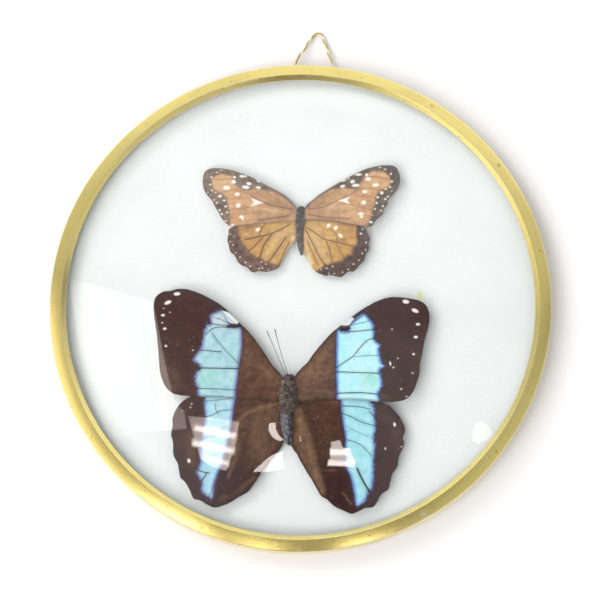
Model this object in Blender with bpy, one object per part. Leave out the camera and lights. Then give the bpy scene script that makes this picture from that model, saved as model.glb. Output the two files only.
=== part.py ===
# Two set butterflies in a round brass-rimmed case with a bulged glass front.
# The case lies on its back: +Z leaves the glass, +Y points to the hanging cord, and the
# origin is the middle of the back, on the surface the case rests on. Units are metres.
import math

import bmesh
import bpy
import numpy as np
from mathutils import Vector

MM = 0.001
GAP = 0.3 * MM  # air between pieces that touch

# Brass rim: a turned band with a flat face, a bevelled lip over the glass and a flange behind
RIM_RADIUS = 100.0 * MM
RIM_HEIGHT = 10.0 * MM
RIM_WALL = 0.8 * MM
RIM_CORNER = 0.8 * MM
RIM_FOOT = 0.4 * MM
FACE_RADIUS = 95.2 * MM
LIP_RADIUS = 93.5 * MM
LIP_TOP = 8.6 * MM
LIP_BOTTOM = 8.3 * MM
LIP_TURN = 0.7 * MM
FLANGE_RADIUS = 94.0 * MM
RIM_SEGMENTS = 72
CORNER_STEPS = 3

# Bulged glass, a cap of a sphere held between the lip and the backing card
GLASS_CURVE = 235.0 * MM
GLASS_THICKNESS = 2.0 * MM
GLASS_EDGE = 98.0 * MM
GLASS_SEGMENTS = 60
GLASS_RINGS = 6

# White backing card, round, on the rim's flange
CARD_RADIUS = 97.8 * MM
CARD_SEGMENTS = 60

# Hanging cord, a short loop through two holes in the rim's wall
CORD_DIAMETER = 1.3 * MM
CORD_HOLE = 2.0 * MM
CORD_HEIGHT = 3.0 * MM
CORD_STEP = 2.0  # diameters between the points of the cord's line
CORD_HOLES_X = (-8.3 * MM, 7.7 * MM)
# The line that the cord follows, by hand, in millimetres: out of one hole, round and back,
# sinking to the surface that the case lies on
CORD_ROUTE = [
    (-8.3, 98.4, 3.0), (-8.3, 101.0, 3.0), (-7.7, 103.6, 2.8), (-6.4, 106.4, 2.4),
    (-5.0, 109.0, 2.0), (-3.7, 111.4, 1.6), (-2.6, 113.7, 1.3), (-1.5, 116.0, 1.0),
    (-0.5, 117.1, 0.85), (0.7, 117.4, 0.8), (2.1, 117.0, 0.8), (3.0, 115.8, 0.9),
    (3.8, 113.5, 1.2), (4.7, 111.1, 1.6), (5.6, 108.8, 2.0), (6.4, 106.3, 2.4),
    (7.1, 103.6, 2.8), (7.6, 101.0, 3.0), (7.7, 98.4, 3.0),
]

# Butterflies. Each one's own frame has its thorax at the origin and its head along +Y.
# Outlines are in millimetres: from the shoulder along the front edge to the tip, down the
# outer margin with its scallops, and back to the root. Left is the side at -X.
WING_THICKNESS = 0.4 * MM
WING_LAYER = 0.9 * MM  # how far a hindwing lies below the forewing over it
WING_INNER_RING = 0.6
SAMPLES_PER_SPAN = 2

LARGE_PLACE = (-2.0 * MM, -38.6 * MM)
LARGE_LEAN = math.radians(2.0)
LARGE_OUTLINES = {
    "forewing_left": [
        (-3.6, 4.6), (-5.2, 8.6), (-8.3, 14.2), (-12.2, 20.0), (-16.0, 24.8), (-20.0, 28.6),
        (-24.0, 32.8), (-29.0, 36.6), (-35.0, 39.8), (-40.5, 41.8), (-45.0, 42.2),
        (-48.5, 41.3), (-51.5, 40.8), (-54.0, 38.7), (-54.8, 35.5), (-54.4, 31.0),
        (-53.4, 25.5), (-52.5, 20.0), (-51.8, 14.5), (-51.2, 9.0), (-50.0, 5.0),
        (-48.0, 1.6), (-45.0, -0.6), (-40.0, -1.4), (-32.0, -1.7), (-22.0, -2.0),
        (-12.0, -2.2), (-4.0, -2.2),
    ],
    "forewing_right": [
        (3.4, 4.6), (4.8, 8.8), (7.6, 14.0), (11.2, 19.2), (15.2, 24.0), (19.2, 27.8),
        (23.6, 31.4), (28.0, 34.7), (32.5, 37.5), (37.0, 39.5), (41.5, 40.2), (46.0, 39.8),
        (50.5, 39.0), (53.3, 37.4), (54.8, 34.5), (55.0, 31.0), (54.2, 26.5), (53.0, 22.0),
        (52.2, 17.0), (51.4, 13.0), (51.2, 9.5), (50.0, 5.0), (48.3, 1.3), (45.8, -1.2),
        (42.0, -2.2), (36.0, -2.4), (28.0, -2.0), (20.0, -1.8), (11.0, -2.0), (3.8, -2.2),
    ],
    "hindwing_left": [
        (-4.2, 1.5), (-12.0, 2.6), (-22.0, 2.8), (-31.0, 1.8), (-37.5, -0.6), (-41.5, -3.0),
        (-44.0, -6.0), (-45.4, -10.0), (-45.2, -13.0), (-45.8, -16.3), (-44.8, -20.0),
        (-44.5, -24.5), (-42.6, -28.0), (-41.5, -33.0), (-39.6, -35.0), (-37.6, -38.0),
        (-36.0, -41.2), (-33.2, -42.0), (-30.4, -43.6), (-27.6, -44.6), (-24.4, -43.8),
        (-21.5, -42.5), (-18.2, -40.3), (-15.0, -38.4), (-12.6, -35.2), (-10.2, -31.4),
        (-6.8, -26.4), (-3.6, -21.6), (-3.8, -16.0), (-4.7, -10.5), (-4.3, -4.5),
    ],
    "hindwing_right": [
        (4.2, 1.5), (12.0, 2.6), (22.0, 2.6), (31.0, 1.0), (36.5, -2.0), (40.0, -3.9),
        (43.0, -7.0), (45.2, -10.6), (45.7, -13.0), (45.0, -16.0), (45.3, -19.0),
        (44.0, -22.2), (43.2, -25.0), (42.8, -27.6), (41.0, -30.2), (40.0, -34.0),
        (39.4, -36.2), (36.8, -38.2), (35.2, -41.2), (33.4, -43.3), (30.6, -43.7),
        (28.0, -45.0), (25.4, -46.0), (23.0, -45.2), (20.6, -44.2), (18.2, -43.0),
        (15.8, -40.8), (13.4, -39.4), (11.6, -36.6), (8.6, -31.6), (5.0, -25.8),
        (2.8, -21.0), (2.8, -17.0), (3.0, -12.0), (3.6, -4.5),
    ],
}
# Along the back: y, middle x, half width, middle z, half depth, in millimetres
LARGE_BODY = [
    (8.2, -0.1, 0.8, 6.6, 0.8), (6.8, -0.3, 1.8, 6.7, 1.8), (5.2, -0.4, 1.8, 6.8, 1.9),
    (3.4, -0.3, 2.7, 6.9, 2.7), (0.5, -0.2, 3.0, 7.0, 3.1), (-3.0, -0.3, 2.8, 6.9, 2.9),
    (-5.8, -0.6, 2.2, 6.5, 2.3), (-8.0, -1.0, 2.6, 6.5, 2.6), (-11.5, -1.0, 2.9, 6.4, 2.6),
    (-15.0, -0.5, 2.4, 6.2, 2.2), (-18.0, 0.2, 1.5, 6.0, 1.5), (-19.4, 0.5, 0.7, 5.9, 0.7),
]
LARGE_BODY_SIDES = 12
LARGE_SHEET = {"span": 55.0 * MM, "root": 7.8 * MM, "rise": 0.3 * MM, "camber": 0.6 * MM}
LARGE_TAIL = {"start": -4.0 * MM, "length": 42.0 * MM, "drop": 1.3 * MM}
LARGE_FOLD = {"start": 1.5 * MM, "spread": 0.3, "slope": 0.3}
# Antennae: from inside the head to the tip, in millimetres, thicker at the club
LARGE_ANTENNAE = [
    [(-1.0, 7.2, 7.4), (-2.3, 9.9, 8.0), (-4.7, 15.2, 8.7), (-7.2, 20.9, 9.3), (-9.2, 25.2, 9.6)],
    [(-0.2, 7.4, 7.6), (-1.4, 10.4, 8.4), (-3.3, 16.2, 9.4), (-4.8, 21.2, 10.1), (-6.1, 25.8, 10.5)],
]
ANTENNA_RADII = [0.22, 0.17, 0.15, 0.17, 0.3]
ANTENNA_SIDES = 6

SMALL_PLACE = (-1.7 * MM, 33.3 * MM)
SMALL_LEAN = math.radians(2.0)
SMALL_OUTLINES = {
    "forewing_left": [
        (-2.2, 4.4), (-3.4, 7.3), (-5.4, 9.6), (-8.0, 11.4), (-11.0, 13.0), (-14.5, 14.9),
        (-18.5, 17.1), (-23.0, 19.0), (-28.0, 20.6), (-33.0, 21.4), (-37.0, 21.3),
        (-39.3, 19.7), (-40.0, 16.5), (-39.6, 13.0), (-38.3, 10.2), (-36.0, 7.5),
        (-34.6, 4.8), (-33.0, 2.2), (-31.8, 0.0), (-29.8, -2.2), (-27.5, -3.4),
        (-22.0, -2.9), (-15.0, -1.8), (-8.0, -0.9), (-2.4, -0.4),
    ],
    "forewing_right": [
        (2.4, 4.6), (3.2, 6.6), (5.2, 8.9), (8.0, 11.3), (11.2, 13.4), (14.5, 15.5),
        (18.0, 17.6), (22.0, 19.9), (26.5, 22.0), (31.0, 23.2), (35.0, 23.6), (38.0, 23.1),
        (39.6, 21.0), (40.2, 17.6), (39.5, 14.2), (37.6, 11.4), (35.5, 9.0), (35.0, 6.8),
        (33.7, 4.4), (33.1, 2.4), (31.0, 0.4), (28.9, -2.4), (26.0, -2.7), (20.0, -1.9),
        (12.0, -0.4), (2.4, 0.3),
    ],
    "hindwing_left": [
        (-2.4, 1.6), (-8.0, 1.8), (-16.0, 0.6), (-23.0, -1.6), (-28.4, -3.8), (-28.9, -6.2),
        (-29.3, -8.6), (-28.7, -10.6), (-28.0, -13.4), (-26.2, -15.2), (-24.8, -17.6),
        (-23.3, -19.1), (-21.0, -20.0), (-19.6, -21.5), (-18.0, -22.0), (-16.2, -21.5),
        (-13.0, -21.7), (-10.2, -20.9), (-8.2, -19.9), (-7.2, -18.0), (-6.2, -15.4),
        (-4.8, -12.2), (-3.0, -9.2), (-2.2, -6.4), (-2.2, -2.5),
    ],
    "hindwing_right": [
        (2.4, 2.0), (8.0, 2.2), (15.0, 1.2), (21.0, -0.6), (26.0, -3.0), (27.2, -5.0),
        (28.2, -7.0), (27.9, -9.6), (27.8, -12.0), (26.7, -14.0), (26.0, -16.5),
        (24.2, -18.4), (22.9, -20.2), (21.8, -21.1), (20.0, -21.2), (18.4, -22.3),
        (16.8, -23.4), (14.6, -23.0), (12.6, -22.7), (10.4, -22.8), (8.0, -22.0),
        (6.0, -20.6), (4.7, -18.2), (3.4, -15.2), (2.3, -11.6), (2.0, -7.0), (2.1, -3.0),
    ],
}
SMALL_BODY = [
    (5.9, 0.3, 0.6, 6.0, 0.6), (4.8, 0.3, 1.3, 6.1, 1.2), (3.6, 0.2, 1.25, 6.1, 1.2),
    (2.0, 0.1, 1.7, 6.1, 1.9), (-0.5, 0.0, 1.7, 6.1, 2.0), (-2.6, -0.1, 1.25, 5.9, 1.5),
    (-5.5, -0.1, 1.4, 5.8, 1.5), (-9.0, 0.2, 1.2, 5.7, 1.3), (-12.0, 0.6, 0.9, 5.6, 1.0),
    (-14.2, 0.9, 0.4, 5.5, 0.5),
]
SMALL_BODY_SIDES = 10
SMALL_SHEET = {"span": 40.0 * MM, "root": 6.7 * MM, "rise": 0.6 * MM, "camber": 0.5 * MM}
SMALL_TAIL = {"start": -4.0 * MM, "length": 19.0 * MM, "drop": 0.6 * MM}
SMALL_FOLD = {"start": 1.5 * MM, "spread": 0.12, "slope": 0.3}


def clear_scene():
    for thing in list(bpy.data.objects):
        bpy.data.objects.remove(thing, do_unlink=True)


def make_material(name, colour, roughness, metallic=0.0, transmission=0.0):
    material = bpy.data.materials.new(name)
    material.use_nodes = True
    shader = material.node_tree.nodes["Principled BSDF"]
    shader.inputs["Base Color"].default_value = (*colour, 1.0)
    shader.inputs["Roughness"].default_value = roughness
    shader.inputs["Metallic"].default_value = metallic
    shader.inputs["Transmission Weight"].default_value = transmission
    return material


def add_mesh_object(name, bm, material, smooth_angle=35.0, parent=None):
    bmesh.ops.recalc_face_normals(bm, faces=bm.faces)
    mesh = bpy.data.meshes.new(name)
    bm.to_mesh(mesh)
    bm.free()
    mesh.materials.append(material)
    mesh.shade_smooth()
    mesh.set_sharp_from_angle(angle=math.radians(smooth_angle))
    thing = bpy.data.objects.new(name, mesh)
    bpy.context.scene.collection.objects.link(thing)
    thing.parent = parent
    return thing


def turned_solid(name, profile, segments, material, closed):
    # profile: (radius, height) points, spun once round +Z
    bm = bmesh.new()
    verts = [bm.verts.new((radius, 0.0, height)) for radius, height in profile]
    edges = [bm.edges.new(pair) for pair in zip(verts, verts[1:])]
    if closed:
        edges.append(bm.edges.new((verts[-1], verts[0])))
    bmesh.ops.spin(
        bm, geom=verts + edges, cent=(0.0, 0.0, 0.0), axis=(0.0, 0.0, 1.0),
        angle=math.tau, steps=segments,
    )
    bmesh.ops.remove_doubles(bm, verts=bm.verts, dist=1e-6)
    return add_mesh_object(name, bm, material)


def smooth_line(points, samples, closed):
    # A curve through every point (Catmull-Rom), sampled evenly in each span
    points = np.asarray(points, float)
    if closed:
        padded = np.vstack([points[-1], points, points[:2]])
    else:
        padded = np.vstack([2 * points[0] - points[1], points, 2 * points[-1] - points[-2]])
    spans = len(padded) - 3
    t = np.arange(samples)[None, :, None] / samples
    a, b, c, d = (padded[i:i + spans, None, :] for i in range(4))
    line = 0.5 * (
        2 * b + (c - a) * t + (2 * a - 5 * b + 4 * c - d) * t ** 2
        + (3 * b - a - 3 * c + d) * t ** 3
    )
    line = line.reshape(-1, points.shape[1])
    return line if closed else np.vstack([line, points[-1]])


def rim_profile():
    profile = [(RIM_RADIUS - RIM_FOOT, 0.0), (RIM_RADIUS, RIM_FOOT)]
    for step in range(CORNER_STEPS + 1):
        turn = 0.5 * math.pi * step / CORNER_STEPS
        profile.append((
            RIM_RADIUS - RIM_CORNER * (1 - math.cos(turn)),
            RIM_HEIGHT - RIM_CORNER * (1 - math.sin(turn)),
        ))
    profile += [
        (FACE_RADIUS, RIM_HEIGHT),
        (LIP_RADIUS, LIP_TOP),
        (LIP_RADIUS, LIP_BOTTOM),
        (LIP_RADIUS + LIP_TURN, LIP_BOTTOM),
        (FACE_RADIUS + 0.5 * RIM_WALL, RIM_HEIGHT - RIM_WALL),
        (RIM_RADIUS - RIM_WALL, RIM_HEIGHT - RIM_WALL),
        (RIM_RADIUS - RIM_WALL, RIM_WALL),
        (FLANGE_RADIUS, RIM_WALL),
        (FLANGE_RADIUS, 0.0),
    ]
    return profile


def dome_height(radius, curve, apex):
    return apex - (curve - math.sqrt(curve ** 2 - radius ** 2))


# The glass meets the lip's underside, and the card fills the space between glass and flange
GLASS_APEX = LIP_BOTTOM - GAP + GLASS_CURVE - math.sqrt(GLASS_CURVE ** 2 - LIP_RADIUS ** 2)
INNER_CURVE = GLASS_CURVE - GLASS_THICKNESS
INNER_APEX = GLASS_APEX - GLASS_THICKNESS
CARD_BOTTOM = RIM_WALL + GAP
CARD_TOP = dome_height(GLASS_EDGE, INNER_CURVE, INNER_APEX) - GAP


def glass_profile():
    radii = [GLASS_EDGE * ring / GLASS_RINGS for ring in range(GLASS_RINGS + 1)]
    outside = [(radius, dome_height(radius, GLASS_CURVE, GLASS_APEX)) for radius in radii]
    inside = [(radius, dome_height(radius, INNER_CURVE, INNER_APEX)) for radius in radii]
    return outside + inside[::-1]


def add_rim(material):
    rim = turned_solid("brass_rim", rim_profile(), RIM_SEGMENTS, material, closed=True)
    for index, hole_x in enumerate(CORD_HOLES_X):
        wall_y = math.sqrt(RIM_RADIUS ** 2 - hole_x ** 2)
        bm = bmesh.new()
        bmesh.ops.create_cone(
            bm, cap_ends=True, segments=12, radius1=CORD_HOLE / 2, radius2=CORD_HOLE / 2,
            depth=4 * RIM_WALL,
        )
        cutter = add_mesh_object(f"cord_hole_cutter_{index}", bm, material)
        cutter.location = (hole_x, wall_y - RIM_WALL / 2, CORD_HEIGHT)
        cutter.rotation_euler = (math.radians(90), 0.0, 0.0)
        cutter.hide_render = True
        cutter.display_type = "WIRE"
        cut = rim.modifiers.new(f"cord_hole_{index}", "BOOLEAN")
        cut.operation = "DIFFERENCE"
        cut.solver = "EXACT"
        cut.object = cutter
    return rim


def add_cord(material):
    route = smooth_line(CORD_ROUTE, 12, closed=False) * MM
    lengths = np.concatenate([[0.0], np.cumsum(np.linalg.norm(np.diff(route, axis=0), axis=1))])
    count = int(lengths[-1] / (CORD_STEP * CORD_DIAMETER)) + 1
    stops = np.linspace(0.0, lengths[-1], count)
    points = np.stack([np.interp(stops, lengths, route[:, axis]) for axis in range(3)], axis=1)
    curve = bpy.data.curves.new("hanging_cord", "CURVE")
    curve.dimensions = "3D"
    curve.bevel_depth = CORD_DIAMETER / 2
    curve.bevel_resolution = 2
    curve.use_fill_caps = True
    spline = curve.splines.new("POLY")
    spline.points.add(count - 1)
    for point, place in zip(spline.points, points):
        point.co = (*place, 1.0)
    curve.materials.append(material)
    cord = bpy.data.objects.new("hanging_cord", curve)
    bpy.context.scene.collection.objects.link(cord)
    return cord


def sheet_height(x, y, sheet):
    # Middle of a forewing: a slow rise away from the body with a low arch
    out = np.abs(x) / sheet["span"]
    return sheet["root"] + sheet["rise"] * out + sheet["camber"] * np.sin(math.pi * out)


def hindwing_height(x, y, sheet, tail, fold):
    # Below the forewing, dropping towards the tail and towards the fold beside the abdomen
    back = np.clip((tail["start"] - y) / tail["length"], 0.0, None)
    fold_x = fold["start"] - fold["spread"] * np.minimum(y, 0.0)
    inside = np.clip(fold_x - np.abs(x), 0.0, None)
    return (
        sheet_height(x, y, sheet) - WING_LAYER - tail["drop"] * back ** 2
        - fold["slope"] * inside
    )


def add_wing(name, outline, height, material, parent):
    # Two skins over the same rings, outline to middle, joined by a thin edge
    edge = smooth_line(outline, SAMPLES_PER_SPAN, closed=True) * MM
    middle = edge.mean(axis=0)
    inner = middle + (edge - middle) * WING_INNER_RING
    count = len(edge)
    bm = bmesh.new()
    skins = []
    for side in (0.5, -0.5):
        rings = []
        for ring in (edge, inner):
            z = height(ring[:, 0], ring[:, 1]) + side * WING_THICKNESS
            rings.append([bm.verts.new((x, y, h)) for (x, y), h in zip(ring, z)])
        tip = height(middle[:1], middle[1:])[0] + side * WING_THICKNESS
        skins.append((rings, bm.verts.new((middle[0], middle[1], tip))))
    for rings, hub in skins:
        outer, inside = rings
        for i in range(count):
            j = (i + 1) % count
            bm.faces.new((outer[i], outer[j], inside[j], inside[i]))
            bm.faces.new((inside[i], inside[j], hub))
    top, bottom = skins[0][0][0], skins[1][0][0]
    for i in range(count):
        j = (i + 1) % count
        bm.faces.new((top[i], top[j], bottom[j], bottom[i]))
    return add_mesh_object(name, bm, material, parent=parent)


def tube(bm, rings):
    # rings: lists of vertices from end to end, closed with a face at both ends
    for first, second in zip(rings, rings[1:]):
        for i in range(len(first)):
            j = (i + 1) % len(first)
            bm.faces.new((first[i], first[j], second[j], second[i]))
    bm.faces.new(rings[0])
    bm.faces.new(rings[-1])


def body_mesh(stations, sides):
    bm = bmesh.new()
    rings = []
    for y, middle_x, half_width, middle_z, half_depth in stations:
        ring = []
        for side in range(sides):
            turn = math.tau * (side + 0.5) / sides
            x = middle_x + half_width * math.cos(turn)
            z = middle_z + half_depth * math.sin(turn)
            ring.append(bm.verts.new((x * MM, y * MM, z * MM)))
        rings.append(ring)
    tube(bm, rings)
    return bm


def antenna_mesh(points):
    bm = bmesh.new()
    rings = []
    places = [Vector(point) for point in points]
    for index, (place, radius) in enumerate(zip(places, ANTENNA_RADII)):
        before = places[max(index - 1, 0)]
        after = places[min(index + 1, len(places) - 1)]
        along = (after - before).normalized()
        across = along.cross(Vector((0.0, 0.0, 1.0))).normalized()
        up = across.cross(along)
        ring = []
        for side in range(ANTENNA_SIDES):
            turn = math.tau * side / ANTENNA_SIDES
            spot = place + radius * (across * math.cos(turn) + up * math.sin(turn))
            ring.append(bm.verts.new(spot * MM))
        rings.append(ring)
    tube(bm, rings)
    return bm


def join_with(body, antenna):
    antenna.hide_render = True
    antenna.display_type = "WIRE"
    join = body.modifiers.new(antenna.name, "BOOLEAN")
    join.operation = "UNION"
    join.solver = "EXACT"
    join.object = antenna


def add_butterfly(name, place, lean, outlines, sheet, tail, fold, stations, sides, materials):
    # place: the thorax over the card, lean: the body's turn from +Y, towards -X
    holder = bpy.data.objects.new(name, None)
    holder.location = (place[0], place[1], 0.0)
    holder.rotation_euler = (0.0, 0.0, lean)
    bpy.context.scene.collection.objects.link(holder)

    def fore(x, y):
        return sheet_height(x, y, sheet)

    def hind(x, y):
        return hindwing_height(x, y, sheet, tail, fold)

    for wing, outline in outlines.items():
        kind = wing.split("_")[0]
        height = fore if kind == "forewing" else hind
        add_wing(f"{name}_{wing}", outline, height, materials[kind], holder)
    body = add_mesh_object(
        f"{name}_body", body_mesh(stations, sides), materials["body"], smooth_angle=60.0,
        parent=holder,
    )
    return holder, body


def main():
    clear_scene()
    brass = make_material("brass", (0.60, 0.44, 0.15), 0.28, metallic=1.0)
    glass = make_material("clear_glass", (1.0, 1.0, 1.0), 0.02, transmission=1.0)
    card = make_material("white_card", (0.88, 0.89, 0.88), 0.8)
    cord = make_material("gold_cord", (0.70, 0.55, 0.25), 0.45)
    dark = make_material("dark_wing", (0.07, 0.035, 0.025), 0.55)
    orange = make_material("orange_wing", (0.45, 0.19, 0.07), 0.6)
    golden = make_material("golden_wing", (0.52, 0.27, 0.08), 0.6)
    fur = make_material("brown_fur", (0.10, 0.08, 0.065), 0.9)
    grey = make_material("grey_body", (0.09, 0.08, 0.08), 0.85)

    add_rim(brass)
    turned_solid("glass_dome", glass_profile(), GLASS_SEGMENTS, glass, closed=False)
    card_profile = [(0.0, CARD_TOP), (CARD_RADIUS, CARD_TOP), (CARD_RADIUS, CARD_BOTTOM),
                    (0.0, CARD_BOTTOM)]
    turned_solid("backing_card", card_profile, CARD_SEGMENTS, card, closed=False)
    add_cord(cord)
    add_butterfly(
        "small_butterfly", SMALL_PLACE, SMALL_LEAN, SMALL_OUTLINES, SMALL_SHEET, SMALL_TAIL,
        SMALL_FOLD, SMALL_BODY, SMALL_BODY_SIDES,
        {"forewing": orange, "hindwing": golden, "body": grey},
    )
    holder, body = add_butterfly(
        "large_butterfly", LARGE_PLACE, LARGE_LEAN, LARGE_OUTLINES, LARGE_SHEET, LARGE_TAIL,
        LARGE_FOLD, LARGE_BODY, LARGE_BODY_SIDES,
        {"forewing": dark, "hindwing": dark, "body": fur},
    )
    for index, points in enumerate(LARGE_ANTENNAE):
        antenna = add_mesh_object(f"antenna_{index}", antenna_mesh(points), fur, parent=holder)
        join_with(body, antenna)


main()
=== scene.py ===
import math

import bpy
import numpy as np
from mathutils import Matrix, Vector


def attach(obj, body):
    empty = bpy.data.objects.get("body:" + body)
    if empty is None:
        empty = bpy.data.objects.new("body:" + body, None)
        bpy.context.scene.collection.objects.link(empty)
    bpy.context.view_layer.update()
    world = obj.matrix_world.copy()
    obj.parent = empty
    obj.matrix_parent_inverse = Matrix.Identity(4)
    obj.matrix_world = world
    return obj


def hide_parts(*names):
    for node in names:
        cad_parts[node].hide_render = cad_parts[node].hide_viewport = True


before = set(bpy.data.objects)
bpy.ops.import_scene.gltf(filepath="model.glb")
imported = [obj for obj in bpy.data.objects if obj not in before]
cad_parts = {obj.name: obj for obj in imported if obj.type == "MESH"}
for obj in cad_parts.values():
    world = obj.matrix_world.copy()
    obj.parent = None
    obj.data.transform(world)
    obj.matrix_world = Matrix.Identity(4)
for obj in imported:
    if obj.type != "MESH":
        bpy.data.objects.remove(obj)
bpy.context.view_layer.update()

mm = 0.001
print("frame loaded,", len(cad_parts), "nodes")

cameraView = {
    "target": (0.18, 0.0, 8.0),  # mm, what the picture centres on
    "distance": 650.0,  # mm
    "tilt": 14.34,  # degrees away from straight above, towards -Y
    "azimuth": 9.79,  # degrees round from -Y towards +X
    "roll": 3.3,  # degrees that +Y leans to the right in the picture
    "lens": 97.81,
}

lightSet = {
    "height": 1.0,  # metres, the level that the ceiling lights and the window hang at
    "panes": [  # outline in metres, strength (or one for each corner): covers, lit gaps, a disc, a window in two parts
        ([(-0.532, -0.329), (-0.399, -0.329), (-0.275, -0.337), (-0.291, -0.425), (-0.318, -0.511),
          (-0.348, -0.588), (-0.420, -0.575), (-0.481, -0.540), (-0.504, -0.430)],
         (2.8, 2.8, 3.0, 4.8, 5.4, 5.4, 5.6, 5.6, 5.0)),
        ([(-0.139, -0.335), (-0.113, -0.333), (-0.108, -0.365), (-0.089, -0.396), (-0.071, -0.409),
          (-0.098, -0.415), (-0.125, -0.398), (-0.143, -0.367)], 8.2),
        ([(-0.216, -0.579), (-0.170, -0.528), (-0.124, -0.484), (-0.075, -0.462), (-0.078, -0.500),
          (-0.068, -0.524), (-0.072, -0.550), (-0.133, -0.571)], 7.6),
        ([(0.136, -0.408), (0.175, -0.397), (0.192, -0.430), (0.220, -0.438), (0.249, -0.487),
          (0.257, -0.517), (0.131, -0.520), (0.141, -0.470)], 6.2),
        ([(0.897, -0.322), (0.934, -0.290), (0.994, -0.306), (1.046, -0.340), (1.066, -0.375),
          (1.015, -0.403), (0.954, -0.418), (0.909, -0.394)], 2.5),
        ([(-0.830, 0.244), (-0.755, 0.218), (-0.706, 0.075), (-0.661, -0.070), (-0.610, -0.245),
          (-0.551, -0.321), (-0.545, -0.392), (-0.660, -0.412), (-0.720, -0.420), (-0.700, -0.250),
          (-0.745, -0.070), (-0.780, 0.075)], 2.4),
        ([(-1.648, 0.527), (-0.830, 0.244), (-0.780, 0.075), (-0.745, -0.070), (-0.700, -0.250),
          (-0.720, -0.420), (-0.844, -0.439), (-1.111, -0.524)], 1.6),
    ],
    "tubes": [  # start x, y, end x, y, width, strength in the middle and at the edge
        (-0.505, -0.381, -0.284, -0.406, 0.044, 13.0, 4.0), (-0.520, -0.456, -0.298, -0.480, 0.044, 13.0, 4.8),
        (-0.455, -0.528, -0.328, -0.546, 0.040, 11.0, 5.2),
        (0.133, -0.453, 0.226, -0.452, 0.038, 17.0, 7.0), (0.128, -0.507, 0.256, -0.509, 0.034, 14.0, 6.2),
    ],
    "colour": (1.0, 0.905, 0.87),
    # soft lamps that aren't mirrored in the glass: place, size, strength
    "softLamps": [((-2.05, 1.15, 1.85), 1.6, 5.95), ((-0.80, -0.90, 1.5), 1.5, 5.1)],
}

roomSet = {
    "overhead": 0.19,  # how bright the room is above and behind the camera
    "middle": 0.42,  # what it gains beyond the top of the picture
    "far": 0.42,  # and further on
    "right": 0.42,  # what it gains to the right
    "skirt": 0.5,  # what its walls add low down
    "lobes": [  # direction, how narrow, strength, colour of the light that comes from there
        ((-0.75, -0.45, 0.45), 6.0, 1.15, (1.0, 0.98, 0.95)),
    ],
    "floor": (0.768, 0.765, 0.786),
}


# ---- small helpers for shader trees

def feed(tree, socket, value):
    # a socket is linked, anything else becomes the socket's own value
    if isinstance(value, bpy.types.NodeSocket):
        tree.links.new(value, socket)
    elif isinstance(value, (tuple, list)) and len(value) == 3 and socket.type == "RGBA":
        socket.default_value = (*value, 1.0)
    else:
        socket.default_value = value


def put(tree, kind, values=None, **settings):
    made = tree.nodes.new("ShaderNode" + kind)
    for key, value in settings.items():
        setattr(made, key, value)
    for key, value in (values or {}).items():
        feed(tree, made.inputs[key], value)
    return made


def calc(tree, operation, *values, clamp=False):
    return put(tree, "Math", dict(enumerate(values)), operation=operation, use_clamp=clamp).outputs[0]


def mixColour(tree, factor, first, second, blend="MIX"):
    made = put(tree, "Mix", {0: factor, 6: first, 7: second}, data_type="RGBA", blend_type=blend)
    return made.outputs[2]


def ramp(tree, value, low, high, toLow=0.0, toHigh=1.0):
    # smooth step from toLow at low to toHigh at high
    values = {"Value": value, "From Min": low, "From Max": high, "To Min": toLow, "To Max": toHigh}
    return put(tree, "MapRange", values, interpolation_type="SMOOTHSTEP").outputs[0]


def noiseAt(tree, vector, scale, detail=3.0, roughness=0.55):
    values = {"Vector": vector, "Scale": scale, "Detail": detail, "Roughness": roughness}
    return put(tree, "TexNoise", values).outputs["Fac"]


def objectPlace(tree):
    return put(tree, "TexCoord").outputs["Object"]


def field(tree, name):
    return put(tree, "Attribute", attribute_name=name).outputs["Fac"]


def newMaterial(name):
    material = bpy.data.materials.new(name)
    material.use_nodes = True
    tree = material.node_tree
    return material, tree, tree.nodes["Principled BSDF"]


def newGroup(name, inputs, outputs):
    # inputs and outputs: (socket name, kind, starting value)
    tree = bpy.data.node_groups.new(name, "ShaderNodeTree")
    for label, kind, start in inputs:
        socket = tree.interface.new_socket(name=label, in_out="INPUT", socket_type="NodeSocket" + kind)
        if start is not None:
            socket.default_value = start
    for label, kind, start in outputs:
        tree.interface.new_socket(name=label, in_out="OUTPUT", socket_type="NodeSocket" + kind)
    return tree, tree.nodes.new("NodeGroupInput").outputs, tree.nodes.new("NodeGroupOutput").inputs


def useGroup(tree, group, values):
    made = tree.nodes.new("ShaderNodeGroup")
    made.node_tree = group
    for key, value in values.items():
        feed(tree, made.inputs[key], value)
    return made.outputs


# ---- small helpers for shapes

def smoothLine(points, samples, closed):
    # a Catmull-Rom curve through every point, samples steps to a span
    points = np.asarray(points, float)
    if closed:
        padded = np.vstack([points[-1], points, points[:2]])
    else:
        padded = np.vstack([2 * points[0] - points[1], points, 2 * points[-1] - points[-2]])
    t = np.arange(samples)[None, :, None] / samples
    a, b, c, d = (padded[i:i + len(padded) - 3, None, :] for i in range(4))
    line = 0.5 * (2 * b + (c - a) * t + (2 * a - 5 * b + 4 * c - d) * t ** 2
                  + (3 * b - a - 3 * c + d) * t ** 3)
    line = line.reshape(-1, points.shape[1])
    return line if closed else np.vstack([line, points[-1]])


def evenly(line, count, closed):
    # the same line with count points at equal distances along it
    if closed:
        line = np.vstack([line, line[:1]])
    lengths = np.concatenate([[0.0], np.cumsum(np.linalg.norm(np.diff(line, axis=0), axis=1))])
    stops = np.linspace(0.0, lengths[-1], count + 1 if closed else count)
    made = np.stack([np.interp(stops, lengths, line[:, k]) for k in range(line.shape[1])], axis=1)
    return made[:-1] if closed else made


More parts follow.
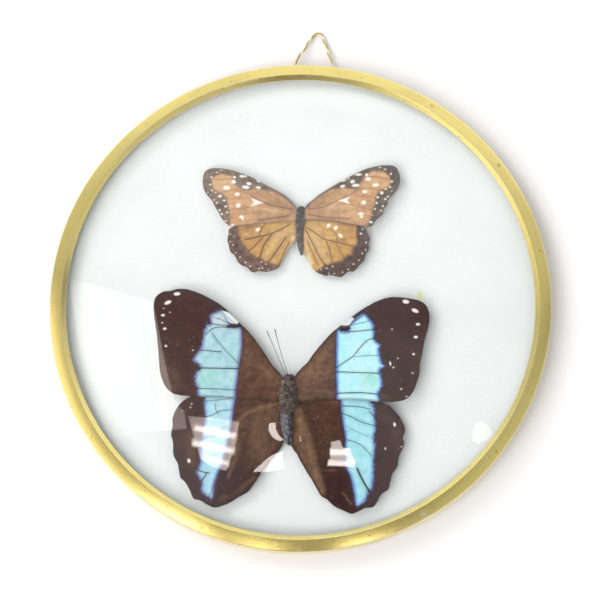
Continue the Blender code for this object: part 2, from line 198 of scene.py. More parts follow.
def gridFaces(rows, columns, start=0, closedColumns=True, closedRows=False):
    # quads between neighbouring rows of points numbered row by row
    row = np.arange(rows if closedRows else rows - 1)[:, None]
    column = np.arange(columns if closedColumns else columns - 1)[None, :]
    nextRow, nextColumn = (row + 1) % rows, (column + 1) % columns
    corners = [row * columns + column, nextRow * columns + column,
               nextRow * columns + nextColumn, row * columns + nextColumn]
    return np.stack(np.broadcast_arrays(*corners), axis=-1).reshape(-1, 4) + start


def fanFaces(hub, first, columns, outward):
    # triangles from a middle point to a ring, wound so that they face outward (+1) or back (-1)
    ring = first + np.arange(columns)
    after = first + (np.arange(columns) + 1) % columns
    pair = (ring, after) if outward > 0 else (after, ring)
    return np.stack([np.full(columns, hub), *pair], axis=-1)


def addPiece(name, points, faces, material, stands=(), fields=None, smooth=True):
    # faces: a list of arrays, each with one row of corner numbers per face
    mesh = bpy.data.meshes.new(name)
    mesh.from_pydata(np.asarray(points, float).tolist(), [], [f for a in faces for f in a.tolist()])
    for key, values in (fields or {}).items():
        made = mesh.attributes.new(key, "FLOAT", "POINT")
        made.data.foreach_set("value", np.asarray(values, np.float32))
    mesh.materials.append(material)
    mesh.polygons.foreach_set("use_smooth", np.full(len(mesh.polygons), smooth))
    mesh.validate()
    mesh.update()
    piece = bpy.data.objects.new(name, mesh)
    bpy.context.scene.collection.objects.link(piece)
    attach(piece, "root")
    if stands:
        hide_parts(*stands)
    return piece


def distanceTo(points, line, closed=False):
    # the shortest distance from each point to a chain of straight pieces
    line = np.asarray(line, float)
    ends = np.vstack([line, line[:1]]) if closed else line
    start, step = ends[:-1], np.diff(ends, axis=0)
    toPoint = points[:, None, :] - start[None]
    along = np.clip((toPoint * step).sum(-1) / np.maximum((step ** 2).sum(-1), 1e-12), 0, 1)
    return np.linalg.norm(toPoint - along[..., None] * step, axis=-1).min(axis=1)


def insideOf(points, outline):
    # odd number of crossings of the ray towards +x
    a = np.asarray(outline, float)
    b = np.roll(a, -1, axis=0)
    x, y = points[:, :1], points[:, 1:2]
    spans = (a[:, 1] > y) != (b[:, 1] > y)
    slope = (b[:, 0] - a[:, 0]) / np.where(b[:, 1] == a[:, 1], 1e-12, b[:, 1] - a[:, 1])
    return (spans & (x < a[:, 0] + slope * (y - a[:, 1]))).sum(axis=1) % 2 == 1


def signedTo(points, outline):
    # distance to the outline's edge, positive inside
    away = distanceTo(points, outline, closed=True)
    return np.where(insideOf(points, outline), away, -away)


def waves(points, scale, seed, count=12):
    # a smooth random field: the mean of sines that run in random directions
    rng = np.random.default_rng(seed)
    directions = rng.normal(size=(count, points.shape[1])) / scale
    phases = rng.uniform(0, math.tau, count)
    return np.sin(points @ directions.T + phases).mean(axis=1) * math.sqrt(2.0)


# ---- camera, floor, light

def addCamera(view):
    # at distance from the target, on a line leaned by tilt and turned by azimuth
    tilt, turn, roll = (math.radians(view[key]) for key in ("tilt", "azimuth", "roll"))
    back = Vector((math.sin(turn) * math.sin(tilt), -math.cos(turn) * math.sin(tilt), math.cos(tilt)))
    right = (-back).cross(Vector((-math.sin(roll), math.cos(roll), 0.0))).normalized()
    up = right.cross(-back)
    data = bpy.data.cameras.new("photoCamera")
    data.lens, data.sensor_width = view["lens"], 36.0
    data.clip_start, data.clip_end = 0.01, 20.0
    camera = bpy.data.objects.new("photoCamera", data)
    place = (Vector(view["target"]) + back * view["distance"]) * mm
    camera.matrix_world = Matrix((
        (right.x, up.x, back.x, place.x), (right.y, up.y, back.y, place.y),
        (right.z, up.z, back.z, place.z), (0.0, 0.0, 0.0, 1.0),
    ))
    bpy.context.scene.collection.objects.link(camera)
    bpy.context.scene.camera = camera


def addStageMesh(name, points, faces, material):
    mesh = bpy.data.meshes.new(name)
    mesh.from_pydata(points, [], faces)
    mesh.materials.append(material)
    thing = bpy.data.objects.new(name, mesh)
    bpy.context.scene.collection.objects.link(thing)
    return thing


def addSoftLamp(name, place, size, strength):
    # a round lamp aimed at the case, seen by neither the camera nor the glass
    data = bpy.data.lights.new(name, "AREA")
    data.shape, data.size = "DISK", size
    data.energy = strength * (math.pi * size / 2) ** 2  # radiance times pi times the disc's area
    lamp = bpy.data.objects.new(name, data)
    lamp.location = place
    lamp.rotation_euler = (-Vector(place)).to_track_quat("-Z", "Y").to_euler()
    lamp.visible_camera = lamp.visible_glossy = lamp.visible_transmission = False
    bpy.context.scene.collection.objects.link(lamp)


def addRoom(room):
    # a pale room: brighter towards +Y and near the horizon, with smooth bright lobes
    world = bpy.data.worlds.new("room")
    bpy.context.scene.world = world
    world.use_nodes = True
    tree = world.node_tree
    direction = put(tree, "TexCoord").outputs["Generated"]
    split = put(tree, "SeparateXYZ", {0: direction}).outputs
    aside = calc(tree, "MULTIPLY", calc(tree, "ABSOLUTE", split[0]), 0.3)
    forward = calc(tree, "SUBTRACT", split[1], aside)
    depth = ramp(tree, forward, -0.02, 0.2, room["overhead"], room["overhead"] + room["middle"])
    depth = calc(tree, "ADD", depth, ramp(tree, forward, 0.27, 0.5, 0.0, room["far"]))
    depth = calc(tree, "ADD", depth, ramp(tree, split[2], 0.52, 0.12, 0.0, room["skirt"]))
    sideways = calc(tree, "MULTIPLY", ramp(tree, split[0], 0.15, 0.33), ramp(tree, split[1], 0.24, 0.05))
    depth = calc(tree, "ADD", depth, calc(tree, "MULTIPLY", sideways, room["right"]))
    total = put(tree, "CombineColor", {0: depth, 1: depth, 2: depth}).outputs[0]
    for aim, narrow, strength, colour in room["lobes"]:
        toward = Vector(aim).normalized()
        match = put(tree, "VectorMath", {0: direction, 1: tuple(toward)}, operation="DOT_PRODUCT")
        lobe = calc(tree, "POWER", calc(tree, "MAXIMUM", match.outputs["Value"], 0.0), narrow)
        total = mixColour(tree, calc(tree, "MULTIPLY", lobe, strength), total, colour, blend="ADD")
    tree.links.new(total, tree.nodes["Background"].inputs["Color"])


def addCeiling(lights):
    # flat outlines of even strength, and strips whose strength falls off towards their edges
    points, faces, glow = [], [], []
    for outline, strength in lights["panes"]:
        faces.append(tuple(range(len(points), len(points) + len(outline))))
        points += [(x, y, lights["height"]) for x, y in outline]
        glow += strength if isinstance(strength, tuple) else [strength] * len(outline)
    along, across = np.array((0.0, 0.08, 0.92, 1.0)), np.array((-0.5, -0.08, 0.08, 0.5))
    inner = np.array((0.0, 1.0, 1.0, 0.0))
    for startX, startY, endX, endY, width, strength, edge in lights["tubes"]:
        start, step = np.array((startX, startY)), np.array((endX - startX, endY - startY))
        side = np.array((-step[1], step[0])) / np.linalg.norm(step) * width
        strip = start + along[:, None, None] * step + across[None, :, None] * side
        faces += [tuple(face) for face in gridFaces(4, 4, len(points), closedColumns=False).tolist()]
        points += [(x, y, lights["height"] - 0.005) for x, y in strip.reshape(-1, 2).tolist()]
        glow += (edge + (strength - edge) * inner[:, None] * inner[None, :]).ravel().tolist()
    material, tree, shader = newMaterial("ceilingGlow")
    feed(tree, shader.inputs["Base Color"], (0.0, 0.0, 0.0))
    feed(tree, shader.inputs["Specular IOR Level"], 0.0)
    feed(tree, shader.inputs["Emission Color"], lights["colour"])
    feed(tree, shader.inputs["Emission Strength"], field(tree, "glow"))
    ceiling = addStageMesh("ceilingLights", points, faces, material)
    ceiling.data.attributes.new("glow", "FLOAT", "POINT").data.foreach_set("value", np.array(glow, np.float32))
    ceiling.visible_camera = False


def addStage(lights, room):
    floorMaterial, tree, shader = newMaterial("paperFloor")
    feed(tree, shader.inputs["Base Color"], room["floor"])
    feed(tree, shader.inputs["Roughness"], 0.9)
    feed(tree, shader.inputs["Specular IOR Level"], 0.1)
    half = 2.5
    addStageMesh("floor", [(-half, -half, 0.0), (half, -half, 0.0), (half, half, 0.0), (-half, half, 0.0)],
                 [(0, 1, 2, 3)], floorMaterial)
    addCeiling(lights)
    # these give the shadows and even out the card
    for index, (place, size, strength) in enumerate(lights["softLamps"]):
        addSoftLamp(f"softLamp{index}", place, size, strength)
    addRoom(room)
    bpy.context.scene.view_settings.view_transform = "Standard"


addCamera(cameraView)
addStage(lightSet, roomSet)
print("camera, floor and lights placed")


# ---- shared effects

def makeGrainGroup():
    # fine mottling at one scale over coarser mottling: a tone round 0.5, and the fine part as height
    tree, given, out = newGroup(
        "fineGrain",
        [("Vector", "Vector", None), ("Scale", "Float", 2000.0), ("Coarse", "Float", 0.08)],
        [("Tone", "Float", None), ("Height", "Float", None)])
    fine = noiseAt(tree, given["Vector"], given["Scale"], detail=2.0)
    coarse = noiseAt(tree, given["Vector"], calc(tree, "MULTIPLY", given["Scale"], given["Coarse"]))
    both = calc(tree, "ADD", calc(tree, "MULTIPLY", fine, 0.5), calc(tree, "MULTIPLY", coarse, 0.5))
    tree.links.new(both, out["Tone"])
    tree.links.new(fine, out["Height"])
    return tree


def makeRaggedGroup():
    # a signed distance in mm becomes a mask with an edge that is soft and frayed by noise
    tree, given, out = newGroup(
        "raggedEdge",
        [("Vector", "Vector", None), ("Distance", "Float", 0.0), ("Soft", "Float", 0.3),
         ("Fray", "Float", 0.5), ("Scale", "Float", 900.0)],
        [("Mask", "Float", None)])
    frayed = calc(tree, "SUBTRACT", noiseAt(tree, given["Vector"], given["Scale"]), 0.5)
    moved = calc(tree, "ADD", given["Distance"], calc(tree, "MULTIPLY", frayed, given["Fray"]))
    spread = calc(tree, "DIVIDE", moved, given["Soft"])
    mask = ramp(tree, spread, -1.0, 1.0)
    tree.links.new(mask, out["Mask"])
    return tree


def makeSpeckGroup():
    # sparse small specks: noise above a threshold
    tree, given, out = newGroup(
        "specks",
        [("Vector", "Vector", None), ("Scale", "Float", 900.0), ("Rarity", "Float", 0.7)],
        [("Mask", "Float", None)])
    grains = noiseAt(tree, given["Vector"], given["Scale"], detail=1.0)
    high = calc(tree, "ADD", given["Rarity"], 0.03)
    mask = put(tree, "MapRange", {"Value": grains, "From Min": given["Rarity"], "From Max": high})
    tree.links.new(mask.outputs[0], out["Mask"])
    return tree


grainGroup = makeGrainGroup()
raggedGroup = makeRaggedGroup()
speckGroup = makeSpeckGroup()


# ---- hanging cord

cordSet = {
    "route": [  # mm, out of one hole in the rim, round and back
        (-8.3, 98.4, 3.0), (-8.3, 101.0, 3.0), (-7.7, 103.6, 2.8), (-6.4, 106.4, 2.4),
        (-5.0, 109.0, 2.0), (-3.7, 111.4, 1.6), (-2.6, 113.7, 1.3), (-1.5, 116.0, 1.0),
        (-0.5, 117.1, 0.85), (0.7, 117.4, 0.8), (2.1, 117.0, 0.8), (3.0, 115.8, 0.9),
        (3.8, 113.5, 1.2), (4.7, 111.1, 1.6), (5.6, 108.8, 2.0), (6.4, 106.3, 2.4),
        (7.1, 103.6, 2.8), (7.6, 101.0, 3.0), (7.7, 98.4, 3.0)],
    "diameter": 1.3,
    "pitch": 7.0,  # mm of cord for one turn of the twist
    "phase": 1.2,
    "plies": 2,
    "sides": 20,
    "gold": (0.60, 0.43, 0.12),
    "white": (0.84, 0.80, 0.58),
}


def makeCordMaterial(cord):
    material, tree, shader = newMaterial("twistedThread")
    along, ply, turn = field(tree, "along"), field(tree, "ply"), field(tree, "turn")
    # thin threads wind round each ply: a wave over along plus turn
    wind = calc(tree, "ADD", calc(tree, "MULTIPLY", along, 9.0), calc(tree, "MULTIPLY", turn, 6.0))
    thread = calc(tree, "MULTIPLY_ADD", calc(tree, "SINE", wind), 0.5, 0.5)
    tone = useGroup(tree, grainGroup, {"Vector": objectPlace(tree), "Scale": 3000.0})["Tone"]
    colour = mixColour(tree, ply, cord["gold"], cord["white"])
    shaded = mixColour(tree, calc(tree, "MULTIPLY", calc(tree, "SUBTRACT", 1.0, thread), 0.35),
                       colour, (0.16, 0.11, 0.05), blend="MULTIPLY")
    feed(tree, shader.inputs["Base Color"],
         mixColour(tree, 0.3, shaded, put(tree, "CombineColor", {0: tone, 1: tone, 2: tone}).outputs[0],
                   blend="OVERLAY"))
    feed(tree, shader.inputs["Metallic"], calc(tree, "MULTIPLY", calc(tree, "SUBTRACT", 1.0, ply), 0.6))
    feed(tree, shader.inputs["Roughness"], 0.38)
    bump = put(tree, "Bump", {"Strength": 0.6, "Distance": 0.00005, "Height": thread})
    feed(tree, shader.inputs["Normal"], bump.outputs[0])
    return material


def addCord(cord):
    # plies: circles carried along helices that wind round the smooth route
    route = smoothLine(cord["route"], 12, closed=False)
    count = 260
    route = evenly(route, count, closed=False)
    step = np.gradient(route, axis=0)
    ahead = step / np.linalg.norm(step, axis=1)[:, None]
    side = np.cross(ahead, (0.0, 0.0, 1.0))
    side /= np.linalg.norm(side, axis=1)[:, None]
    above = np.cross(side, ahead)
    along = np.concatenate([[0.0], np.cumsum(np.linalg.norm(np.diff(route, axis=0), axis=1))])
    thick = cord["diameter"] / 4 * 1.1
    helix = cord["diameter"] / 2 - thick
    points, faces, alongs, plies, turns = [], [], [], [], []
    for ply in range(cord["plies"]):
        angle = cord["phase"] + math.tau * (along / cord["pitch"] + ply / cord["plies"])
        middle = route + helix * (side * np.cos(angle)[:, None] + above * np.sin(angle)[:, None])
        turn = math.tau * np.arange(cord["sides"]) / cord["sides"]
        ring = middle[:, None, :] + thick * (
            side[:, None, :] * np.cos(turn)[None, :, None] + above[:, None, :] * np.sin(turn)[None, :, None])
        base = sum(len(p) for p in points)
        points.append(np.vstack([ring.reshape(-1, 3), middle[:1], middle[-1:]]))
        last = base + (count - 1) * cord["sides"]
        faces.append(gridFaces(count, cord["sides"], base)[:, ::-1])
        faces.append(fanFaces(base + count * cord["sides"], base, cord["sides"], 1))
        faces.append(fanFaces(base + count * cord["sides"] + 1, last, cord["sides"], -1))
        alongs.append(np.append(np.repeat(along, cord["sides"]), [along[0], along[-1]]))
        turns.append(np.append(np.tile(turn, count), [0.0, 0.0]))
        plies.append(np.full(count * cord["sides"] + 2, float(ply)))
    piece = addPiece(
        "hangingCord", np.vstack(points) * mm, faces, makeCordMaterial(cord),
        ["hanging_cord"],
        {"along": np.concatenate(alongs), "ply": np.concatenate(plies), "turn": np.concatenate(turns)})


addCord(cordSet)
print("cord twisted")


# ---- brass rim

rimSet = {
    "radius": 100.0, "height": 10.0, "wall": 0.8, "foot": 0.4, "corner": 0.8,
    "face": 95.2, "lip": 93.5, "lipTop": 8.6, "lipBottom": 8.3, "lipTurn": 0.7, "flange": 94.0,
    "crown": 0.9,  # how much lower the face is at its outer edge
    "segments": 640,
    "holes": [(-8.3, 3.0), (7.7, 3.0)],
    "holeDiameter": 2.0,
    "colour": (0.90, 0.745, 0.245),
    "dark": (0.30, 0.21, 0.075),
    # small marks on the face: x, y in mm, size in mm, depth (dark above 0, pale below)
    "marks": [(49.6, 84.0, 0.9, 1.0), (77.5, 59.6, 1.0, 0.9), (53.0, -82.5, 2.4, -0.8),
              (-32.0, -92.5, 1.2, 0.5), (-67.0, 70.5, 0.8, 0.5), (20.0, 95.0, 0.7, 0.4)],
}


def roundedCorner(before, corner, after, radius, steps):
    # an arc that touches both sides of a corner, radius cut from each side
    before, corner, after = (np.array(p, float) for p in (before, corner, after))
    first = corner + (before - corner) / np.linalg.norm(before - corner) * radius
    last = corner + (after - corner) / np.linalg.norm(after - corner) * radius
    t = np.linspace(0.0, 1.0, steps)[:, None]
    return (1 - t) ** 2 * first + 2 * t * (1 - t) * corner + t ** 2 * last


def rimProfile(rim):
    # the band's cross section, anticlockwise seen with the radius to the right and z up
    r, h, wall = rim["radius"], rim["height"], rim["wall"]
    middle = 0.5 * (r + rim["face"])
    corners = [  # radius, height, rounding
        (r - rim["foot"], 0.0, 0.1), (r, rim["foot"], 0.15), (r - 0.1, h - rim["crown"], 0.45),
        (middle, h - 0.40 * rim["crown"], 1.2), (rim["face"], h, 0.22), (rim["lip"], rim["lipTop"], 0.2), (rim["lip"], rim["lipBottom"], 0.05),
        (rim["lip"] + rim["lipTurn"], rim["lipBottom"], 0.1), (rim["face"] + 0.5 * wall, h - 1.2 * wall, 0.2),
        (r - 1.1 * wall, h - rim["crown"] - wall, 0.2), (r - wall, wall, 0.2), (rim["flange"], wall, 0.08),
        (rim["flange"], 0.0, 0.08),
    ]
    parts, rubbedEdgeAndGlint = [], []
    for i, (x, z, rounding) in enumerate(corners):
        before, after = corners[i - 1], corners[(i + 1) % len(corners)]
        arc = roundedCorner(before[:2], (x, z), after[:2], rounding, 7)
        parts.append(arc)
        # corners 2, 4 and 5 count as edges: the paler brass there is partly rubbed wear, partly a painted highlight
        # along the edge
        rubbedEdgeAndGlint.append(np.full(7, 1.0 if i in (2, 4, 5) else 0.0))
        gap = np.array(after[:2]) - (x, z)
        extra = int(np.linalg.norm(gap) / 0.9)
        if extra > 0:
            # points between this corner and the next keep the flat parts evenly divided
            nextArc = roundedCorner((x, z), after[:2], corners[(i + 2) % len(corners)][:2], after[2], 2)
            t = (np.arange(extra) + 1.0)[:, None] / (extra + 1)
            parts.append(arc[-1] * (1 - t) + nextArc[0] * t)
            rubbedEdgeAndGlint.append(np.zeros(extra))
    return np.vstack(parts), np.concatenate(rubbedEdgeAndGlint)


def makeBrassMaterial(rim):
    material, tree, shader = newMaterial("brushedBrass")
    place = objectPlace(tree)
    split = put(tree, "SeparateXYZ", {0: place}).outputs
    flat = put(tree, "CombineXYZ", {0: split[0], 1: split[1]}).outputs[0]
    radius = put(tree, "VectorMath", {0: flat}, operation="LENGTH").outputs["Value"]
    # brushed streaks: fast across the band, slow along it
    across = calc(tree, "ADD", calc(tree, "MULTIPLY", radius, 2600.0), calc(tree, "MULTIPLY", split[2], 2600.0))
    streakAt = put(tree, "CombineXYZ", {0: across, 1: calc(tree, "MULTIPLY", split[0], 40.0),
                                        2: calc(tree, "MULTIPLY", split[1], 40.0)}).outputs[0]
    streak = noiseAt(tree, streakAt, 1.0, detail=2.0)
    tarnish = noiseAt(tree, place, 28.0, detail=4.0)
    grain = useGroup(tree, grainGroup, {"Vector": place, "Scale": 2600.0})
    colour = mixColour(tree, ramp(tree, tarnish, 0.45, 0.75, 0.0, 0.35), rim["colour"], (0.66, 0.53, 0.17))
    colour = mixColour(tree, ramp(tree, streak, 0.2, 0.5, 0.07, 0.0), colour, rim["dark"])
    specks = useGroup(tree, speckGroup, {"Vector": place, "Scale": 700.0, "Rarity": 0.72})["Mask"]
    colour = mixColour(tree, calc(tree, "MULTIPLY", specks, 0.5), colour, rim["dark"])
    mark = field(tree, "mark")
    colour = mixColour(tree, calc(tree, "MULTIPLY", mark, 0.9, clamp=True), colour, (0.10, 0.07, 0.03))
    colour = mixColour(tree, calc(tree, "MULTIPLY", mark, -0.9, clamp=True), colour, (0.95, 0.88, 0.66))
    # the marked edges turn paler and smoother where the tarnish noise is high: partly rubbed wear, partly a painted
    # highlight
    worn = calc(tree, "MULTIPLY", field(tree, "edge"), ramp(tree, tarnish, 0.35, 0.6))
    colour = mixColour(tree, calc(tree, "MULTIPLY", worn, 0.4), colour, (0.93, 0.83, 0.52))
    feed(tree, shader.inputs["Base Color"], colour)
    feed(tree, shader.inputs["Metallic"], 1.0)
    rough = calc(tree, "ADD", 0.19, calc(tree, "MULTIPLY", streak, 0.05))
    rough = calc(tree, "ADD", rough, calc(tree, "MULTIPLY", tarnish, 0.06))
    rough = calc(tree, "SUBTRACT", rough, calc(tree, "MULTIPLY", worn, 0.03))
    # the brushed grain smears reflections across the band
    feed(tree, shader.inputs["Anisotropic"], 0.7)
    feed(tree, shader.inputs["Coat Weight"], 0.7)  # a thin lacquer
    feed(tree, shader.inputs["Coat Roughness"], 0.2)
    feed(tree, shader.inputs["Anisotropic Rotation"], 0.25)
    feed(tree, shader.inputs["Roughness"], calc(tree, "ADD", rough, calc(tree, "MULTIPLY", specks, 0.2)))
    height = calc(tree, "ADD", streak, calc(tree, "MULTIPLY", grain["Height"], 0.3))
    bump = put(tree, "Bump", {"Strength": 0.12, "Distance": 0.00002, "Height": height})
    feed(tree, shader.inputs["Normal"], bump.outputs[0])
    return material


def addRim(rim):
    # the profile carried round a circle, with dents at the marks
    profile, rubbedEdgeAndGlint = rimProfile(rim)
    segments, rows = rim["segments"], len(profile)
    turn = math.tau * np.arange(segments) / segments
    radius, height = profile[:, 0][None, :], profile[:, 1][None, :]
    points = np.stack([radius * np.cos(turn)[:, None], radius * np.sin(turn)[:, None],
                       np.broadcast_to(height, (segments, rows))], axis=-1).reshape(-1, 3)
    mark = np.zeros(len(points))
    for x, y, size, depth in rim["marks"]:
        near = np.exp(-(((points[:, :2] - (x, y)) ** 2).sum(axis=1)) / (0.5 * size) ** 2)
        near *= points[:, 2] > rim["lipTop"] - 0.2
        mark += depth * near
        points[:, 2] -= 0.06 * abs(depth) * near
    faces = gridFaces(segments, rows, closedRows=True)[:, ::-1]
    rimPiece = addPiece(
        "brassRim", points * mm, [faces], makeBrassMaterial(rim), ["brass_rim"],
        {"mark": mark, "edge": np.tile(rubbedEdgeAndGlint, segments)})
    cutHoles(rimPiece, rim)
    return rimPiece


def cutHoles(piece, rim):
    # round holes through the wall where the cord passes
    for index, (x, z) in enumerate(rim["holes"]):
        sides, reach = 32, 3.0
        turn = math.tau * np.arange(sides) / sides
        y = math.sqrt(rim["radius"] ** 2 - x ** 2)
        ends = []
        for place in (y - reach, y + reach):
            ends.append(np.stack([x + 0.5 * rim["holeDiameter"] * np.cos(turn), np.full(sides, place),
                                  z + 0.5 * rim["holeDiameter"] * np.sin(turn)], axis=-1))
        mesh = bpy.data.meshes.new(f"holeTool{index}")
        wall = gridFaces(2, sides)[:, ::-1].tolist()
        caps = [list(range(sides)), list(range(2 * sides - 1, sides - 1, -1))]
        mesh.from_pydata((np.vstack(ends) * mm).tolist(), [], wall + caps)
        tool = bpy.data.objects.new(f"holeTool{index}", mesh)
        bpy.context.scene.collection.objects.link(tool)
        cut = piece.modifiers.new("hole", "BOOLEAN")
        cut.operation, cut.solver, cut.object = "DIFFERENCE", "EXACT", tool
        settled = bpy.data.meshes.new_from_object(
            piece.evaluated_get(bpy.context.evaluated_depsgraph_get()))
        piece.modifiers.clear()
        piece.data = settled
        bpy.data.objects.remove(tool)


addRim(rimSet)
print("rim turned")


# ---- glass and card

glassSet = {
    "curve": 235.0, "thickness": 2.0, "edge": 98.0, "lip": 93.5, "seat": 8.0,  # mm
    "segments": 240, "rings": 70,
    "tint": (0.975, 1.0, 0.995),
    "ior": 1.5,
}


def makeGlassMaterial(glass):
    material, tree, shader = newMaterial("clearGlass")
    place = objectPlace(tree)
    feed(tree, shader.inputs["Base Color"], glass["tint"])
    feed(tree, shader.inputs["Transmission Weight"], 1.0)
    feed(tree, shader.inputs["IOR"], glass["ior"])
    smear = ramp(tree, noiseAt(tree, place, 35.0), 0.5, 0.8, 0.0, 0.035)
    feed(tree, shader.inputs["Roughness"], smear)
    # shadow rays pass straight through, so the glass casts no shadow of its own
    clear = put(tree, "BsdfTransparent")
    shadowRay = put(tree, "LightPath").outputs["Is Shadow Ray"]
    both = put(tree, "MixShader", {0: shadowRay})
    tree.links.new(shader.outputs[0], both.inputs[1])
    tree.links.new(clear.outputs[0], both.inputs[2])
    tree.links.new(both.outputs[0], tree.nodes["Material Output"].inputs["Surface"])
    return material


def addGlass(glass):
    # two caps of spheres with one centre, joined at the edge by an upright band
    apex = glass["seat"] + glass["curve"] - math.sqrt(glass["curve"] ** 2 - glass["lip"] ** 2)
    part = np.linspace(0.0, 1.0, glass["rings"] + 1)[1:]
    radii = glass["edge"] * np.sin(0.5 * math.pi * part) ** 0.9
    outer = apex - (glass["curve"] - np.sqrt(glass["curve"] ** 2 - radii ** 2))
    inside = glass["curve"] - glass["thickness"]
    inner = apex - glass["thickness"] - (inside - np.sqrt(inside ** 2 - radii ** 2))
    profileR = np.concatenate([radii, radii[::-1]])
    profileZ = np.concatenate([outer, inner[::-1]])
    turn = math.tau * np.arange(glass["segments"]) / glass["segments"]
    points = np.stack([profileR[:, None] * np.cos(turn), profileR[:, None] * np.sin(turn),
                       np.broadcast_to(profileZ[:, None], (len(profileR), len(turn)))], axis=-1).reshape(-1, 3)
    points = np.vstack([points, (0.0, 0.0, apex), (0.0, 0.0, apex - glass["thickness"])])
    columns, rows = glass["segments"], len(profileR)
    faces = [gridFaces(rows, columns), fanFaces(rows * columns, 0, columns, 1),
             fanFaces(rows * columns + 1, (rows - 1) * columns, columns, -1)]
    addPiece("glassDome", points * mm, faces, makeGlassMaterial(glass), ["glass_dome"])


cardSet = {
    "colour": (0.866, 0.882, 0.886),
    "shade": (0.816, 0.836, 0.840),
    "edge": (0.97, 0.975, 0.975),  # painted light: the card is paler beside the rim, up left, where the rim's shadow falls
    "stain": (47.9, 5.4),  # mm, the middle of a small yellow stain
    "stainSize": (1.1, 1.9),
    "stainColour": (0.80, 0.76, 0.22),
}


def makeCardMaterial(card):
    material, tree, shader = newMaterial("whiteCard")
    place = objectPlace(tree)
    tone = useGroup(tree, grainGroup, {"Vector": place, "Scale": 1200.0, "Coarse": 0.03})
    colour = mixColour(tree, ramp(tree, tone["Tone"], 0.4, 0.7), card["colour"], card["shade"])
    radius = put(tree, "VectorMath", {0: place}, operation="LENGTH").outputs["Value"]
    away = put(tree, "VectorMath", {0: place, 1: (-0.75, 0.66, 0.0)}, operation="DOT_PRODUCT").outputs["Value"]
    # painted light: lightens the card near the rim on the upper left, over the rim's shadow
    paintedLightByRim = calc(tree, "MULTIPLY", ramp(tree, radius, 0.080, 0.093), ramp(tree, away, 0.0, 0.05))
    colour = mixColour(tree, paintedLightByRim, colour, card["edge"])
    # the stain: how far a point lies inside an ellipse, frayed
    middle = (card["stain"][0] * mm, card["stain"][1] * mm, 0.0)
    offset = put(tree, "VectorMath", {0: place, 1: middle}, operation="SUBTRACT").outputs[0]
    stretch = (1000.0 / card["stainSize"][0], 1000.0 / card["stainSize"][1], 0.0)
    scaled = put(tree, "VectorMath", {0: offset, 1: stretch}, operation="MULTIPLY").outputs[0]
    reach = put(tree, "VectorMath", {0: scaled}, operation="LENGTH").outputs["Value"]
    inside = calc(tree, "SUBTRACT", 1.0, reach)
    stain = useGroup(tree, raggedGroup, {"Vector": place, "Distance": inside, "Soft": 0.45, "Fray": 0.7,
                                         "Scale": 1500.0})["Mask"]
    colour = mixColour(tree, calc(tree, "MULTIPLY", stain, 0.7), colour, card["stainColour"])
    specks = useGroup(tree, speckGroup, {"Vector": place, "Scale": 260.0, "Rarity": 0.76})["Mask"]
    colour = mixColour(tree, calc(tree, "MULTIPLY", specks, 0.12), colour, (0.45, 0.43, 0.38))
    feed(tree, shader.inputs["Base Color"], colour)
    feed(tree, shader.inputs["Roughness"], 0.85)
    feed(tree, shader.inputs["Specular IOR Level"], 0.25)
    bump = put(tree, "Bump", {"Strength": 0.15, "Distance": 0.00005, "Height": tone["Height"]})
    feed(tree, shader.inputs["Normal"], bump.outputs[0])
    return material


addGlass(glassSet)
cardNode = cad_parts["backing_card"]
cardNode.data.materials.clear()
cardNode.data.materials.append(makeCardMaterial(cardSet))
print("glass and card finished")


# ---- wings

